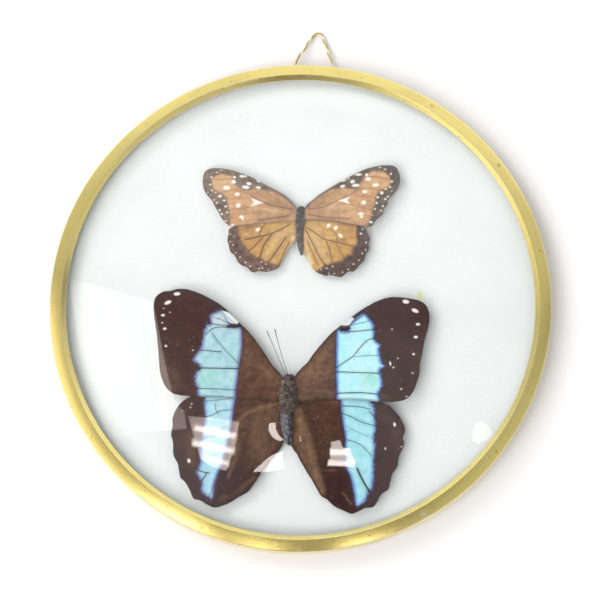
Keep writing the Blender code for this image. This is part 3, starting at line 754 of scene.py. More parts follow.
largeSet = {
    "place": (-2.0, -38.6), "lean": 2.0,  # mm and degrees
    "span": 55.0, "root": 7.8, "rise": 0.3, "camber": 0.6,
    "tail": {"start": -4.0, "length": 42.0, "drop": 1.3},
    "fold": {"start": 1.5, "spread": 0.3, "slope": 0.3},
    "around": 640, "rings": 118,
    "tuck": 2.0, "tuckFrom": 7.3, "tuckTo": 23.0,  # mm the wings reach under the body, and where
    "outlines": {
        "forewing_left": [
            (-3.6, 4.6), (-5.2, 8.6), (-8.3, 14.2), (-12.2, 20.0), (-16.0, 24.8), (-20.0, 28.6),
            (-24.0, 32.8), (-29.0, 36.6), (-35.0, 39.8), (-40.5, 41.8), (-45.0, 42.2),
            (-48.5, 41.3), (-51.5, 40.8), (-54.0, 38.7), (-54.8, 35.5), (-54.4, 31.0),
            (-53.4, 25.5), (-52.5, 20.0), (-51.8, 14.5), (-51.2, 9.0), (-50.0, 5.0),
            (-48.0, 1.6), (-45.0, -0.6), (-40.0, -1.4), (-32.0, -1.7), (-22.0, -2.0),
            (-12.0, -2.2), (-4.0, -2.2)],
        "forewing_right": [
            (3.4, 4.6), (4.8, 8.8), (7.6, 14.0), (11.2, 19.2), (15.2, 24.0), (19.2, 27.8),
            (23.6, 31.4), (28.0, 34.7), (32.5, 37.5), (37.0, 39.5), (41.5, 40.2), (46.0, 39.8),
            (50.5, 39.0), (53.3, 37.4), (54.8, 34.5), (55.0, 31.0), (54.2, 26.5), (53.0, 22.0),
            (52.2, 17.0), (51.4, 13.0), (51.2, 9.5), (50.0, 5.0), (48.3, 1.3), (45.8, -1.2),
            (42.0, -2.2), (36.0, -2.4), (28.0, -2.0), (20.0, -1.8), (11.0, -2.0), (3.8, -2.2)],
        "hindwing_left": [
            (-4.2, 1.5), (-12.0, 2.6), (-22.0, 2.8), (-31.0, 1.8), (-37.5, -0.6), (-41.5, -3.0),
            (-44.0, -6.0), (-45.4, -10.0), (-45.2, -13.0), (-45.8, -16.3), (-44.8, -20.0),
            (-44.5, -24.5), (-42.6, -28.0), (-41.5, -33.0), (-39.6, -35.0), (-37.6, -38.0),
            (-36.0, -41.2), (-33.2, -42.0), (-30.4, -43.6), (-27.6, -44.6), (-24.4, -43.8),
            (-21.5, -42.5), (-18.2, -40.3), (-15.0, -38.4), (-12.6, -35.2), (-10.2, -31.4),
            (-6.8, -26.4), (-3.6, -21.6), (-3.8, -16.0), (-4.7, -10.5), (-4.3, -4.5)],
        "hindwing_right": [
            (4.2, 1.5), (12.0, 2.6), (22.0, 2.6), (31.0, 1.0), (36.5, -2.0), (40.0, -3.9),
            (43.0, -7.0), (45.2, -10.6), (45.7, -13.0), (45.0, -16.0), (45.3, -19.0),
            (44.0, -22.2), (43.2, -25.0), (42.8, -27.6), (41.0, -30.2), (40.0, -34.0),
            (39.4, -36.2), (36.8, -38.2), (35.2, -41.2), (33.4, -43.3), (30.6, -43.7),
            (28.0, -45.0), (25.4, -46.0), (23.0, -45.2), (20.6, -44.2), (18.2, -43.0),
            (15.8, -40.8), (13.4, -39.4), (11.6, -36.6), (8.6, -31.6), (5.0, -25.8),
            (2.8, -21.0), (2.8, -17.0), (3.0, -12.0), (3.6, -4.5)],
    },
    # the pale band of each wing, then its dark lines: points, half width and darkness
    "bands": {
        "forewing_left": [
            (-19.5, 26), (-19, 20), (-19.5, 14), (-20, 10), (-20.5, 5), (-21, 0), (-21.2, -4),
            (-35.5, -4), (-35.5, -1.5), (-36, 2.5), (-37, 5), (-36.5, 8), (-35, 10.5), (-38, 13.5),
            (-35, 18), (-34.5, 22), (-33.5, 27), (-31.5, 28), (-32, 31), (-28, 33.5), (-26, 32),
            (-24.5, 30), (-23.8, 27.2), (-21, 26.8)],
        "forewing_right": [
            (18.5, 25.5), (18.5, 10), (18.7, 5), (19, 1), (20, -4), (34.5, -4), (35, 1), (36, 3),
            (36.5, 5), (36, 8), (35.5, 10.5), (37.5, 12), (36, 13.5), (35.5, 16), (35, 18.5),
            (35.5, 20.5), (33.5, 22), (33, 26), (32.5, 29), (31, 31), (29, 33), (26.5, 31.5),
            (23.5, 28.5), (22.8, 25.8), (20, 25.6)],
        "hindwing_left": [
            (-21, 3), (-21.5, -5), (-22, -11), (-23, -17), (-24.2, -23), (-25.5, -28), (-27, -32),
            (-28, -36), (-28.5, -40.5), (-30.5, -40.5), (-33, -38), (-33, -35), (-35, -31), (-34, -28),
            (-33.5, -18), (-32.5, -9), (-33, -6), (-33, -2), (-33.5, 3)],
        "hindwing_right": [
            (20, 3), (20.5, -2), (20.8, -6), (21.5, -11), (22.5, -16), (22.5, -20), (23, -28),
            (24.5, -31), (26, -37), (27, -42.3), (28.5, -42.5), (31, -39.8), (31.6, -37.6), (32.2, -36.6),
            (33, -36), (33.5, -30), (33.5, -25), (34, -20), (33.5, -16), (34, -12), (33.5, -5), (32, -2),
            (32, 3)],
    },
    "costa": {  # where the front edge is bare and pale
        "forewing_left": [(-27.8, 33.4), (-24.2, 32.7), (-20.4, 28.8), (-21.2, 28.0), (-23.8, 28.4), (-25.6, 30.6)],
        "forewing_right": [(19.3, 28.2), (23.6, 31.9), (25.2, 31.0), (23.2, 28.4), (22.0, 28.0)],
    },
    "lines": {
        "forewing_left": [
            ([(-35, 17.2), (-31, 16.9), (-27, 16.6)], 0.22, 0.8), ([(-37, 10), (-30, 10), (-20, 10)], 0.25, 0.9),
            ([(-37, 1.8), (-28, 1.7), (-21, 1.4)], 0.22, 0.7), ([(-31, 24), (-26, 18), (-20, 12)], 0.2, 0.6),
            ([(-33.5, 23.5), (-31, 25.8), (-28.5, 26.6), (-24, 26.4)], 0.22, 0.7),
            ([(-33.5, 28.4), (-29, 27.6), (-24.5, 27.0)], 0.25, 0.7),
            ([(-25, 27), (-22, 26.9), (-19.5, 27.6)], 0.6, 1.0),
            ([(-29, 35.8), (-26, 34), (-22.6, 32.0)], 0.55, 1.0), ([(-28.5, 34.2), (-24, 29.8), (-21.5, 27.6)], 0.16, 0.8),
            ([(-32, 31), (-28, 29.8), (-25, 28.6)], 0.2, 0.5)],
        "forewing_right": [
            ([(18.5, 9.4), (27, 9.2), (36, 9.0)], 0.22, 0.85), ([(19, 0.8), (28, 1.2), (36, 0.6)], 0.25, 0.85),
            ([(25, 15.5), (30, 16), (34.5, 16.2)], 0.18, 0.55),
            ([(18.2, 10.8), (21.5, 13.2), (25, 15.8), (28, 19.6), (30.5, 22.2), (33.5, 23.2)], 0.22, 0.8),
            ([(23, 27.6), (26, 30.4), (30, 33)], 0.16, 0.8), ([(23, 27.8), (27, 29), (31, 30)], 0.16, 0.6),
            ([(22.8, 25.6), (28, 26), (34, 26.8)], 0.25, 0.75), ([(19.8, 26.8), (21.5, 26.6), (23.2, 27)], 0.65, 1.0),
            ([(23.6, 31.6), (26, 33.3), (29.5, 35.4)], 0.5, 1.0)],
        "hindwing_left": [
            ([(-33, -9.4), (-30, -8.6), (-27, -7), (-23, -6.3)], 0.2, 0.7), ([(-28.6, -4), (-28.5, -6), (-27.6, -8)], 0.18, 0.6),
            ([(-33, -3), (-28, -2.6), (-22, -1.6)], 0.22, 0.5), ([(-34.5, -30.2), (-32, -31), (-30.2, -31.2)], 0.25, 0.9),
            ([(-31, -31.2), (-32.4, -33.4), (-33.2, -34.8)], 0.25, 0.9), ([(-27.8, -34), (-29, -38), (-30.5, -41)], 0.2, 0.5),
            ([(-24, -13), (-28, -16), (-33, -18)], 0.2, 0.5), ([(-25, -20), (-28, -24), (-33, -27)], 0.2, 0.5)],
        "hindwing_right": [
            ([(21, -4), (28, -4.3), (32, -5.2)], 0.22, 0.7), ([(21, -7), (25, -8.4), (28, -10), (33.5, -11.6)], 0.22, 0.7),
            ([(22, -17), (27, -18.5), (30, -20.5), (32.6, -23.4)], 0.22, 0.6), ([(31.6, -6), (33, -7.4), (34, -9)], 0.35, 0.6),
            ([(27.2, -28.5), (28.6, -31.5), (30.4, -34.6), (32.2, -37.4)], 0.42, 1.0),
            ([(22.6, -12), (28, -14.5), (33, -16.5)], 0.16, 0.35)],
    },
    # paler (above 0) or darker (below 0) streaks: points, half width, amount; on the left hindwing the dark streak
    # curving down from near the body and the pale streaks beside it are painted shade and painted reflection
    "streaks": {
        "forewing_left": [
            ([(-4, 3), (-12, 2), (-20, 1.6)], 0.8, -0.25), ([(-5, 6), (-12, 12), (-17, 17)], 1.0, 0.25),
            ([(-3, 4), (-8, 8), (-15, 13), (-19, 18)], 4.5, 0.35), ([(-36, 14), (-44, 13), (-50, 11)], 0.5, -0.3),
            ([(-36, 22), (-44, 23), (-51, 24)], 0.5, -0.3), ([(-36, 5), (-42, 4), (-48, 4)], 0.5, -0.3),
            ([(-46, 2), (-49, 6), (-51, 13)], 2.4, 0.35), ([(-43, 4), (-46, 9)], 1.6, 0.2)],
        "forewing_right": [
            ([(4, 2), (11, 1.9), (18, 0.9)], 0.6, 0.3), ([(6, 6), (11, 13), (15, 18)], 1.2, 0.5),
            ([(7, 10), (12, 17), (17, 22)], 3.0, 0.35), ([(4, 4), (10, 8), (17, 9)], 5.0, 0.35),
            ([(36, 12), (43, 12), (50, 11)], 0.5, -0.3), ([(36, 22), (43, 24), (52, 25)], 0.5, -0.3),
            ([(34, 3), (40, 1), (46, 0)], 0.5, -0.3), ([(36, 0.4), (39.5, -0.6)], 1.0, 0.35)],
        "hindwing_left": [
            ([(-5, -3.4), (-9, -4.6), (-14, -6.2), (-18, -9), (-20.6, -12.6)], 0.8, 0.7),
            ([(-9, -9), (-12, -14), (-10, -22)], 5.0, 0.35),
            ([(-15.5, -14), (-17.0, -22), (-18.5, -30), (-21.5, -38)], 1.6, -0.55),
            ([(-20.0, -13), (-20.4, -18), (-20.2, -25), (-23.0, -33)], 1.0, 0.5),
            ([(-24, -30), (-26, -37), (-28, -41)], 1.4, -0.3), ([(-13, -33), (-20, -38.5), (-27, -41.5)], 1.0, 0.35),
            ([(-34.5, -10), (-38, -18), (-37, -27)], 2.2, 0.25), ([(-35, -8), (-41, -12), (-43, -19)], 1.0, -0.3)],
        "hindwing_right": [
            ([(3.4, -7), (5.4, -12), (8, -19), (10.8, -28), (13.6, -37)], 2.3, 0.95),
            ([(3.2, -16), (5, -22), (9, -31)], 1.6, 0.45), ([(7.4, -8), (11, -17), (14, -28), (17, -38)], 1.8, -0.4),
            ([(14, -29.5), (19, -29.2)], 0.4, 0.5), ([(22, -38), (25, -42)], 0.5, 0.5),
            ([(36, -6), (41, -12), (43, -20)], 2.0, 0.15), ([(4, 1), (12, -1.4), (20, -2.6)], 1.2, 0.3)],
    },
    "spots": {  # x, y, width, height, turn in degrees
        "forewing_left": [
            (-45.5, 40, 2.6, 1.4, 5), (-49, 36.4, 2.8, 1.4, 25), (-50.7, 31.2, 1.5, 1.0, 0),
            (-49.8, 25.7, 1.3, 1.0, 0), (-49, 18.7, 1.0, 0.9, 0), (-38.2, 17.1, 0.6, 0.4, 0),
            (-50.9, 28.1, 0.7, 0.5, 0), (-48, 32.4, 0.5, 0.4, 0), (-50.6, 34, 0.5, 0.4, 0)],
        "forewing_right": [
            (45.5, 38.2, 2.6, 1.6, -8), (49.2, 34.6, 2.8, 1.5, -22), (50.4, 29.1, 1.7, 1.0, 0),
            (49.5, 23.9, 1.6, 1.1, 0), (48.7, 17, 1.0, 0.9, 0), (39.6, 13, 0.7, 1.6, 10),
            (40.8, 11.5, 0.8, 0.5, 30), (40.2, 26.9, 0.6, 0.4, 0), (44, 3, 0.7, 0.5, 0), (46, 0, 0.8, 0.5, 0),
            (48.3, 9.5, 0.6, 0.4, 0), (42.6, 15.2, 0.5, 0.4, 0)],
        "hindwing_left": [(-38.2, -26.6, 1.2, 1.6, 20), (-38, -4.2, 0.7, 0.5, 0), (-38.4, -5.6, 0.5, 0.6, 0),
                          (-41.5, -7, 0.4, 0.4, 0)],
        "hindwing_right": [(41.5, -11, 0.9, 1.6, 10), (44.2, -19.6, 0.7, 0.5, 0), (5, -17.6, 0.6, 0.5, 0),
                           (4.8, -16.6, 0.5, 0.4, 0), (31.8, -16.2, 0.4, 0.4, 0), (38, -20.5, 0.5, 0.9, 15)],
    },
}

smallSet = {
    "place": (-1.7, 33.3), "lean": 2.0,
    "span": 40.0, "root": 6.7, "rise": 0.6, "camber": 0.5,
    "tail": {"start": -4.0, "length": 19.0, "drop": 0.6},
    "fold": {"start": 1.5, "spread": 0.12, "slope": 0.3},
    "around": 540, "rings": 92,
    "tuck": 0.9, "tuckFrom": 5.0, "tuckTo": 30.0,
    "outlines": {
        "forewing_left": [
            (-2.2, 4.4), (-3.4, 7.3), (-5.4, 9.6), (-8.0, 11.4), (-11.0, 13.0), (-14.5, 14.9),
            (-18.5, 17.1), (-23.0, 19.0), (-28.0, 20.6), (-33.0, 21.4), (-37.0, 21.3),
            (-39.3, 19.7), (-40.0, 16.5), (-39.6, 13.0), (-38.3, 10.2), (-36.0, 7.5),
            (-34.6, 4.8), (-33.0, 2.2), (-31.8, 0.0), (-29.8, -2.2), (-27.5, -3.4),
            (-22.0, -2.9), (-15.0, -1.8), (-8.0, -0.9), (-2.4, -0.4)],
        "forewing_right": [
            (2.4, 4.6), (3.2, 6.6), (5.2, 8.9), (8.0, 11.3), (11.2, 13.4), (14.5, 15.5),
            (18.0, 17.6), (22.0, 19.9), (26.5, 22.0), (31.0, 23.2), (35.0, 23.6), (38.0, 23.1),
            (39.6, 21.0), (40.2, 17.6), (39.5, 14.2), (37.6, 11.4), (35.5, 9.0), (35.0, 6.8),
            (33.7, 4.4), (33.1, 2.4), (31.0, 0.4), (28.9, -2.4), (26.0, -2.7), (20.0, -1.9),
            (12.0, -0.4), (2.4, 0.3)],
        "hindwing_left": [
            (-2.4, 1.6), (-8.0, 1.8), (-16.0, 0.6), (-23.0, -1.6), (-28.4, -3.8), (-28.9, -6.2),
            (-29.3, -8.6), (-28.7, -10.6), (-28.0, -13.4), (-26.2, -15.2), (-24.8, -17.6),
            (-23.3, -19.1), (-21.0, -20.0), (-19.6, -21.5), (-18.0, -22.0), (-16.2, -21.5),
            (-13.0, -21.7), (-10.2, -20.9), (-8.2, -19.9), (-7.2, -18.0), (-6.2, -15.4),
            (-4.8, -12.2), (-3.0, -9.2), (-2.2, -6.4), (-2.2, -2.5)],
        "hindwing_right": [
            (2.4, 2.0), (8.0, 2.2), (15.0, 1.2), (21.0, -0.6), (26.0, -3.0), (27.2, -5.0),
            (28.2, -7.0), (27.9, -9.6), (27.8, -12.0), (26.7, -14.0), (26.0, -16.5),
            (24.2, -18.4), (22.9, -20.2), (21.8, -21.1), (20.0, -21.2), (18.4, -22.3),
            (16.8, -23.4), (14.6, -23.0), (12.6, -22.7), (10.4, -22.8), (8.0, -22.0),
            (6.0, -20.6), (4.7, -18.2), (3.4, -15.2), (2.3, -11.6), (2.0, -7.0), (2.1, -3.0)],
    },
    # the warm ground inside each wing's dark margin
    "bands": {
        "forewing_left": [
            (-1.5, 4.0), (-3.4, 6.2), (-5.6, 8.4), (-8.5, 10.2), (-12.5, 12), (-16.5, 12.6), (-20.5, 12.3),
            (-23, 12.2), (-25.5, 13.4), (-27.3, 14.6), (-27.8, 17.0), (-29.5, 18.4), (-33, 18.8),
            (-35.3, 17.6), (-36.2, 15), (-35.2, 12.4), (-33, 11.2), (-31, 10.3), (-29.8, 8.5), (-29.3, 6),
            (-28.6, 3.5), (-28.2, 1.2), (-28, -1.5), (-28, -5), (-20, -6), (-10, -4), (-1, -3)],
        "forewing_right": [
            (1.5, 4.0), (3.4, 5.6), (5, 8), (8.5, 10.6), (12, 12.6), (15, 13.4), (19, 13.4), (22.5, 13.2),
            (24, 15), (25.2, 17.5), (27, 19.7), (29.5, 20.9), (32.5, 20.8), (35, 19.5), (36, 17.3),
            (35.8, 15.2), (34, 13.6), (32, 12.6), (30.6, 11.0), (30, 8), (29.6, 6), (29, 3.5), (28.2, 1),
            (27.2, -1), (26, -5), (20, -6), (10, -4), (1, -3)],
        "hindwing_left": [
            (-1, 3), (-14, 4), (-24.5, 2), (-24.5, -5.5), (-22.7, -10), (-20.2, -13.3), (-17, -15.5),
            (-13, -17.3), (-7.5, -18.4), (-4, -16), (-1, -9)],
        "hindwing_right": [
            (1, 3), (14, 4), (22, 2), (22.5, -3), (22.8, -7), (23.3, -9), (22, -10.7), (21, -12),
            (20.5, -14), (18, -15), (17, -16.5), (13, -17.5), (10, -18.5), (8, -20), (4.5, -21), (1, -11)],
    },
    "costa": {},
    "lines": {
        "forewing_left": [
            ([(-3, 4.5), (-10, 5.5), (-14.5, 7), (-19.8, 9.6)], 0.28, 0.6), ([(-4.5, 1.8), (-10, 0.6), (-17, -0.5)], 0.32, 0.6),
            ([(-15, 5.2), (-20, 5.0), (-29, 3.4)], 0.16, 0.35), ([(-20, 9), (-26, 8.4), (-30, 8.6)], 0.16, 0.3),
            ([(-20, 9.8), (-26, 12.2), (-30, 11.4), (-34, 11)], 0.18, 0.45), ([(-27, 16.8), (-31, 16.6), (-35, 16.2)], 0.22, 0.4),
            ([(-16, 3.4), (-22, 2.2), (-28, 0)], 0.14, 0.25), ([(-5, 5.6), (-9, 8.6), (-14, 10.8)], 0.16, 0.3)],
        "forewing_right": [
            ([(3, 4.8), (9, 5.4), (14.5, 8), (19.8, 10.4)], 0.26, 0.45), ([(3, 2.4), (10, 1.2), (20, 0.6)], 0.3, 0.5),
            ([(15, 7), (20, 6.6), (29, 4.4)], 0.16, 0.3), ([(20, 10.6), (26, 10.2), (30.4, 9.6)], 0.16, 0.35),
            ([(20, 11), (25, 13.6), (30, 13.0), (34, 13)], 0.18, 0.45), ([(26.6, 18.4), (31, 18.4), (35, 17.6)], 0.22, 0.45),
            ([(29, 21), (33, 20)], 0.16, 0.3), ([(17, 3.4), (23, 4.2), (28, 1.6)], 0.14, 0.25),
            ([(5, 6.4), (9, 9.6), (14, 12)], 0.16, 0.3)],
        "hindwing_left": [
            ([(-4, -1.5), (-8, -4), (-12, -6), (-16, -7), (-22, -8.5)], 0.32, 0.7),
            ([(-11.5, -6.4), (-14, -10), (-16, -16)], 0.34, 0.75), ([(-15, -7.4), (-18, -11), (-20.5, -13.4)], 0.3, 0.7),
            ([(-5.5, -7), (-8, -11), (-12.5, -17.8)], 0.34, 0.75), ([(-4, -9), (-6, -13), (-8, -18.4)], 0.3, 0.6),
            ([(-14, -1), (-15.5, -4), (-16.5, -6.8)], 0.3, 0.6), ([(-17, -2.6), (-21, -3.6), (-24.5, -4.6)], 0.2, 0.4)],
        "hindwing_right": [
            ([(3, -3), (6, -5), (9.5, -7.5), (12, -8.2), (15, -9), (21.5, -10.6)], 0.32, 0.6),
            ([(10.5, -8), (12, -12), (13.2, -17)], 0.32, 0.55), ([(14.5, -9.5), (16, -12), (17.8, -15)], 0.28, 0.5),
            ([(2.4, -4), (5, -9), (8, -15), (10.5, -18.5)], 0.34, 0.6), ([(2.6, -8), (5, -13), (7.6, -18.6)], 0.3, 0.45),
            ([(12.5, -3.5), (14.6, -6), (15, -8.6)], 0.26, 0.45), ([(15, -8.6), (19, -7.4), (22.6, -7)], 0.2, 0.3)],
    },
    "streaks": {
        "forewing_left": [([(-28, 17.6), (-34, 17)], 2.2, 0.35), ([(-29, 13), (-34, 14)], 2.0, 0.3),
                          ([(-4, 4), (-9, 7.4)], 1.8, -0.35), ([(-20, 6), (-28, 6.6)], 2.4, 0.2),
                          ([(-5, 3.2), (-12, 3.8), (-18, 5.2)], 0.9, 0.35), ([(-12, 9.6), (-20, 11)], 1.0, -0.3),
                          ([(-16, 2.6), (-24, 3.6)], 0.8, -0.25)],
        "forewing_right": [([(28, 19.6), (33, 19.4)], 1.8, 0.2), ([(30, 15.8), (34.5, 15.6)], 1.4, 0.15),
                           ([(4, 5), (9, 8)], 2.0, -0.35), ([(12, 5.4), (22, 5.4)], 1.8, 0.25),
                           ([(28, 8), (29.4, 2)], 1.2, -0.3)],
        "hindwing_left": [([(-2.6, -7), (-4.4, -11.6), (-6.3, -16.2)], 0.7, 1.0), ([(-6, -5), (-9, -9), (-12, -14)], 2.2, 0.35),
                          ([(-23, -6.6), (-19, -6)], 0.9, 0.3)],
        "hindwing_right": [([(2.2, -6), (3, -12), (4.8, -17.6)], 0.8, 0.9), ([(5, -6), (8, -12), (9.6, -17)], 2.4, 0.4),
                           ([(18, -1), (21, -2.6)], 1.2, -0.6), ([(11, -7.2), (14.5, -6.8)], 0.5, 0.5)],
    },
    "spots": {
        "forewing_left": [
            (-36.4, 17.5, 0.9, 0.9, 0), (-36.8, 14.3, 0.9, 0.7, 0), (-36, 11.8, 0.8, 0.8, 0), (-37.6, 10.8, 0.6, 0.6, 0),
            (-36.4, 9.8, 0.6, 0.6, 0), (-35, 7.9, 0.7, 0.6, 0), (-33.8, 6.6, 0.8, 0.8, 0), (-32.6, 3.6, 1.0, 0.8, 0),
            (-31.7, 1.9, 0.9, 0.9, 0), (-30, -1, 0.8, 0.7, 0), (-34.5, 11, 0.9, 0.5, 0), (-32.6, 9.4, 1.6, 1.1, 5),
            (-30.9, 7.6, 1.2, 0.9, 10), (-30.2, 5.1, 1.2, 0.9, 0), (-29.5, 2.6, 0.9, 0.8, 0), (-27.2, -2.7, 1.7, 0.9, 10),
            (-34.3, 19.5, 1.1, 0.6, 0), (-32.5, 20.4, 1.2, 0.5, 0), (-27, 17.5, 1.3, 1.2, 0), (-27.3, 15.6, 2.0, 1.8, 0),
            (-24, 18, 2.2, 1.1, -5), (-22.6, 18.1, 1.2, 0.9, -20), (-21.1, 14.9, 2.2, 1.4, -10), (-22.3, 13.3, 3.2, 1.5, -5),
            (-17.2, 13.3, 2.2, 1.2, -10), (-17.3, 16, 1.9, 0.9, -30), (-30.1, 13, 2.8, 1.9, 0), (-25.7, 10.3, 2.2, 1.6, 0),
            (-25.1, 5.6, 2.0, 1.9, 30), (-23.6, 0.8, 2.0, 1.4, 0), (-23.2, 0.0, 1.0, 1.2, 0)],
        "forewing_right": [
            (36.3, 19.8, 0.9, 1.0, 0), (36.7, 16.6, 1.0, 0.9, 0), (36, 14.2, 1.0, 0.9, 0), (34.4, 13.3, 1.0, 0.7, 0),
            (36.7, 12.5, 0.6, 0.5, 0), (35.2, 10.2, 0.9, 0.8, 0), (34.2, 9.1, 1.0, 0.9, 0), (33.2, 6.1, 0.9, 0.9, 0),
            (32.5, 4.3, 0.9, 0.8, 0), (28.5, -0.7, 1.8, 0.9, -15), (32.7, 11.7, 1.6, 1.5, 0), (31.1, 9.8, 1.2, 0.9, 10),
            (30.7, 7.4, 1.0, 0.9, 0), (30.1, 4.9, 0.8, 0.8, 0), (29.1, 2.2, 0.5, 0.5, 0), (34, 21.7, 1.1, 0.7, 0),
            (31.8, 22.4, 1.2, 0.5, 0), (26.5, 19.2, 1.3, 1.5, -10), (27.2, 17.5, 2.2, 1.7, 10), (23.2, 19.3, 3.0, 1.1, 5),
            (20.9, 16.3, 2.0, 1.6, 20), (22.2, 14.7, 3.2, 1.4, 5), (16.9, 14.3, 2.2, 1.2, 15), (17.3, 16.7, 2.2, 0.8, 20),
            (19.3, 17.4, 0.9, 0.7, 0), (30.2, 15, 2.8, 1.6, 5), (25.9, 12.1, 2.2, 1.5, 0), (25.5, 7.5, 2.1, 1.8, 0),
            (24.4, 2.8, 2.4, 1.3, 5), (24.7, 1.6, 1.2, 1.4, 0)],
        "hindwing_left": [
            (-17, -4.2, 2.1, 1.4, 25), (-15.2, -2.2, 0.9, 0.6, 0), (-28, -6.2, 0.5, 0.6, 0), (-26.4, -7.3, 0.5, 0.5, 0),
            (-28, -9.4, 0.6, 0.5, 0), (-26.8, -10.8, 0.7, 0.5, 0), (-25.6, -13.9, 0.6, 0.5, 0), (-23.8, -15.7, 0.7, 0.6, 0),
            (-21.6, -17.9, 0.8, 0.7, 0), (-19.6, -19.4, 0.6, 0.7, 0), (-16.1, -20.3, 0.7, 0.6, 0), (-14.7, -20, 0.6, 0.7, 0),
            (-12.3, -20.8, 0.5, 0.5, 0), (-15.1, -17.6, 0.9, 0.5, 0), (-13.4, -18.4, 0.7, 0.6, 0)],
        "hindwing_right": [
            (11.5, -2, 1.5, 2.0, -30), (14.4, -3, 1.4, 2.0, -35), (16.4, -6.2, 1.3, 2.2, 45), (24.5, -5.3, 1.1, 0.8, 0),
            (25.2, -3.4, 0.6, 0.7, 0), (26.7, -9, 0.7, 0.8, 0), (26.5, -12, 0.5, 0.8, 0), (25.2, -13.5, 0.6, 0.7, 0),
            (23.9, -16.3, 0.7, 0.6, 0), (21.8, -17.9, 0.7, 0.7, 0), (19.6, -20.1, 0.8, 0.5, 0), (17.4, -21.3, 0.7, 0.5, 0),
            (14.1, -21.9, 0.6, 0.6, 0), (12, -21.9, 0.6, 0.5, 0), (13.4, -19, 0.8, 0.6, 0), (11, -19.7, 0.9, 0.5, 0),
            (8.7, -20.2, 0.5, 0.5, 0)],
    },
    # the arrow-shaped mark in the middle of each forewing: an outer and an inner triangle
    "arrows": {
        "forewing_left": [(-20.1, 8.9), (-14.9, 6.9), (-20.1, 5.0), (-19.0, 6.9)],
        "forewing_right": [(20.1, 10.1), (15.1, 8.2), (20.1, 6.7), (19.0, 8.4)],
    },
}


def sheetHeight(points, wings):
    # root height, plus a slow rise away from the body, plus a low sine arch
    out = np.abs(points[:, 0]) / wings["span"]
    return wings["root"] + wings["rise"] * out + wings["camber"] * np.sin(math.pi * out)


def hindHeight(points, wings):
    # a layer below the forewing, less a square-law drop to the tail and a slope beside the abdomen
    tail, fold = wings["tail"], wings["fold"]
    back = np.clip((tail["start"] - points[:, 1]) / tail["length"], 0.0, None)
    foldX = fold["start"] - fold["spread"] * np.minimum(points[:, 1], 0.0)
    inside = np.clip(foldX - np.abs(points[:, 0]), 0.0, None)
    return sheetHeight(points, wings) - 0.9 - tail["drop"] * back ** 2 - fold["slope"] * inside


def strongest(points, lines):
    # the highest of strength times exp(-(distance / half width) squared)
    total = np.zeros(len(points))
    for line, halfWidth, strength in lines:
        line = smoothLine(line, 6, closed=False) if len(line) > 2 else line
        away = distanceTo(points, line)
        total = np.maximum(total, strength * np.exp(-(away / (0.8 * halfWidth)) ** 2))
    return total


def streakSum(points, lines):
    # the sum of amount times exp(-(distance / half width) squared)
    total = np.zeros(len(points))
    for line, halfWidth, amount in lines:
        away = distanceTo(points, smoothLine(line, 6, closed=False) if len(line) > 2 else line)
        total += amount * np.exp(-(away / halfWidth) ** 2)
    return total


def spotField(points, spots):
    # the highest of (1 - elliptical distance) times the smaller half size: mm inside a spot
    total = np.full(len(points), -2.0)
    for x, y, width, height, turn in spots:
        c, s = math.cos(math.radians(turn)), math.sin(math.radians(turn))
        dx, dy = points[:, 0] - x, points[:, 1] - y
        across, up = (dx * c + dy * s) / (0.5 * width), (-dx * s + dy * c) / (0.5 * height)
        total = np.maximum(total, (1.0 - np.hypot(across, up)) * 0.5 * min(width, height))
    return np.maximum(total, -2.0)


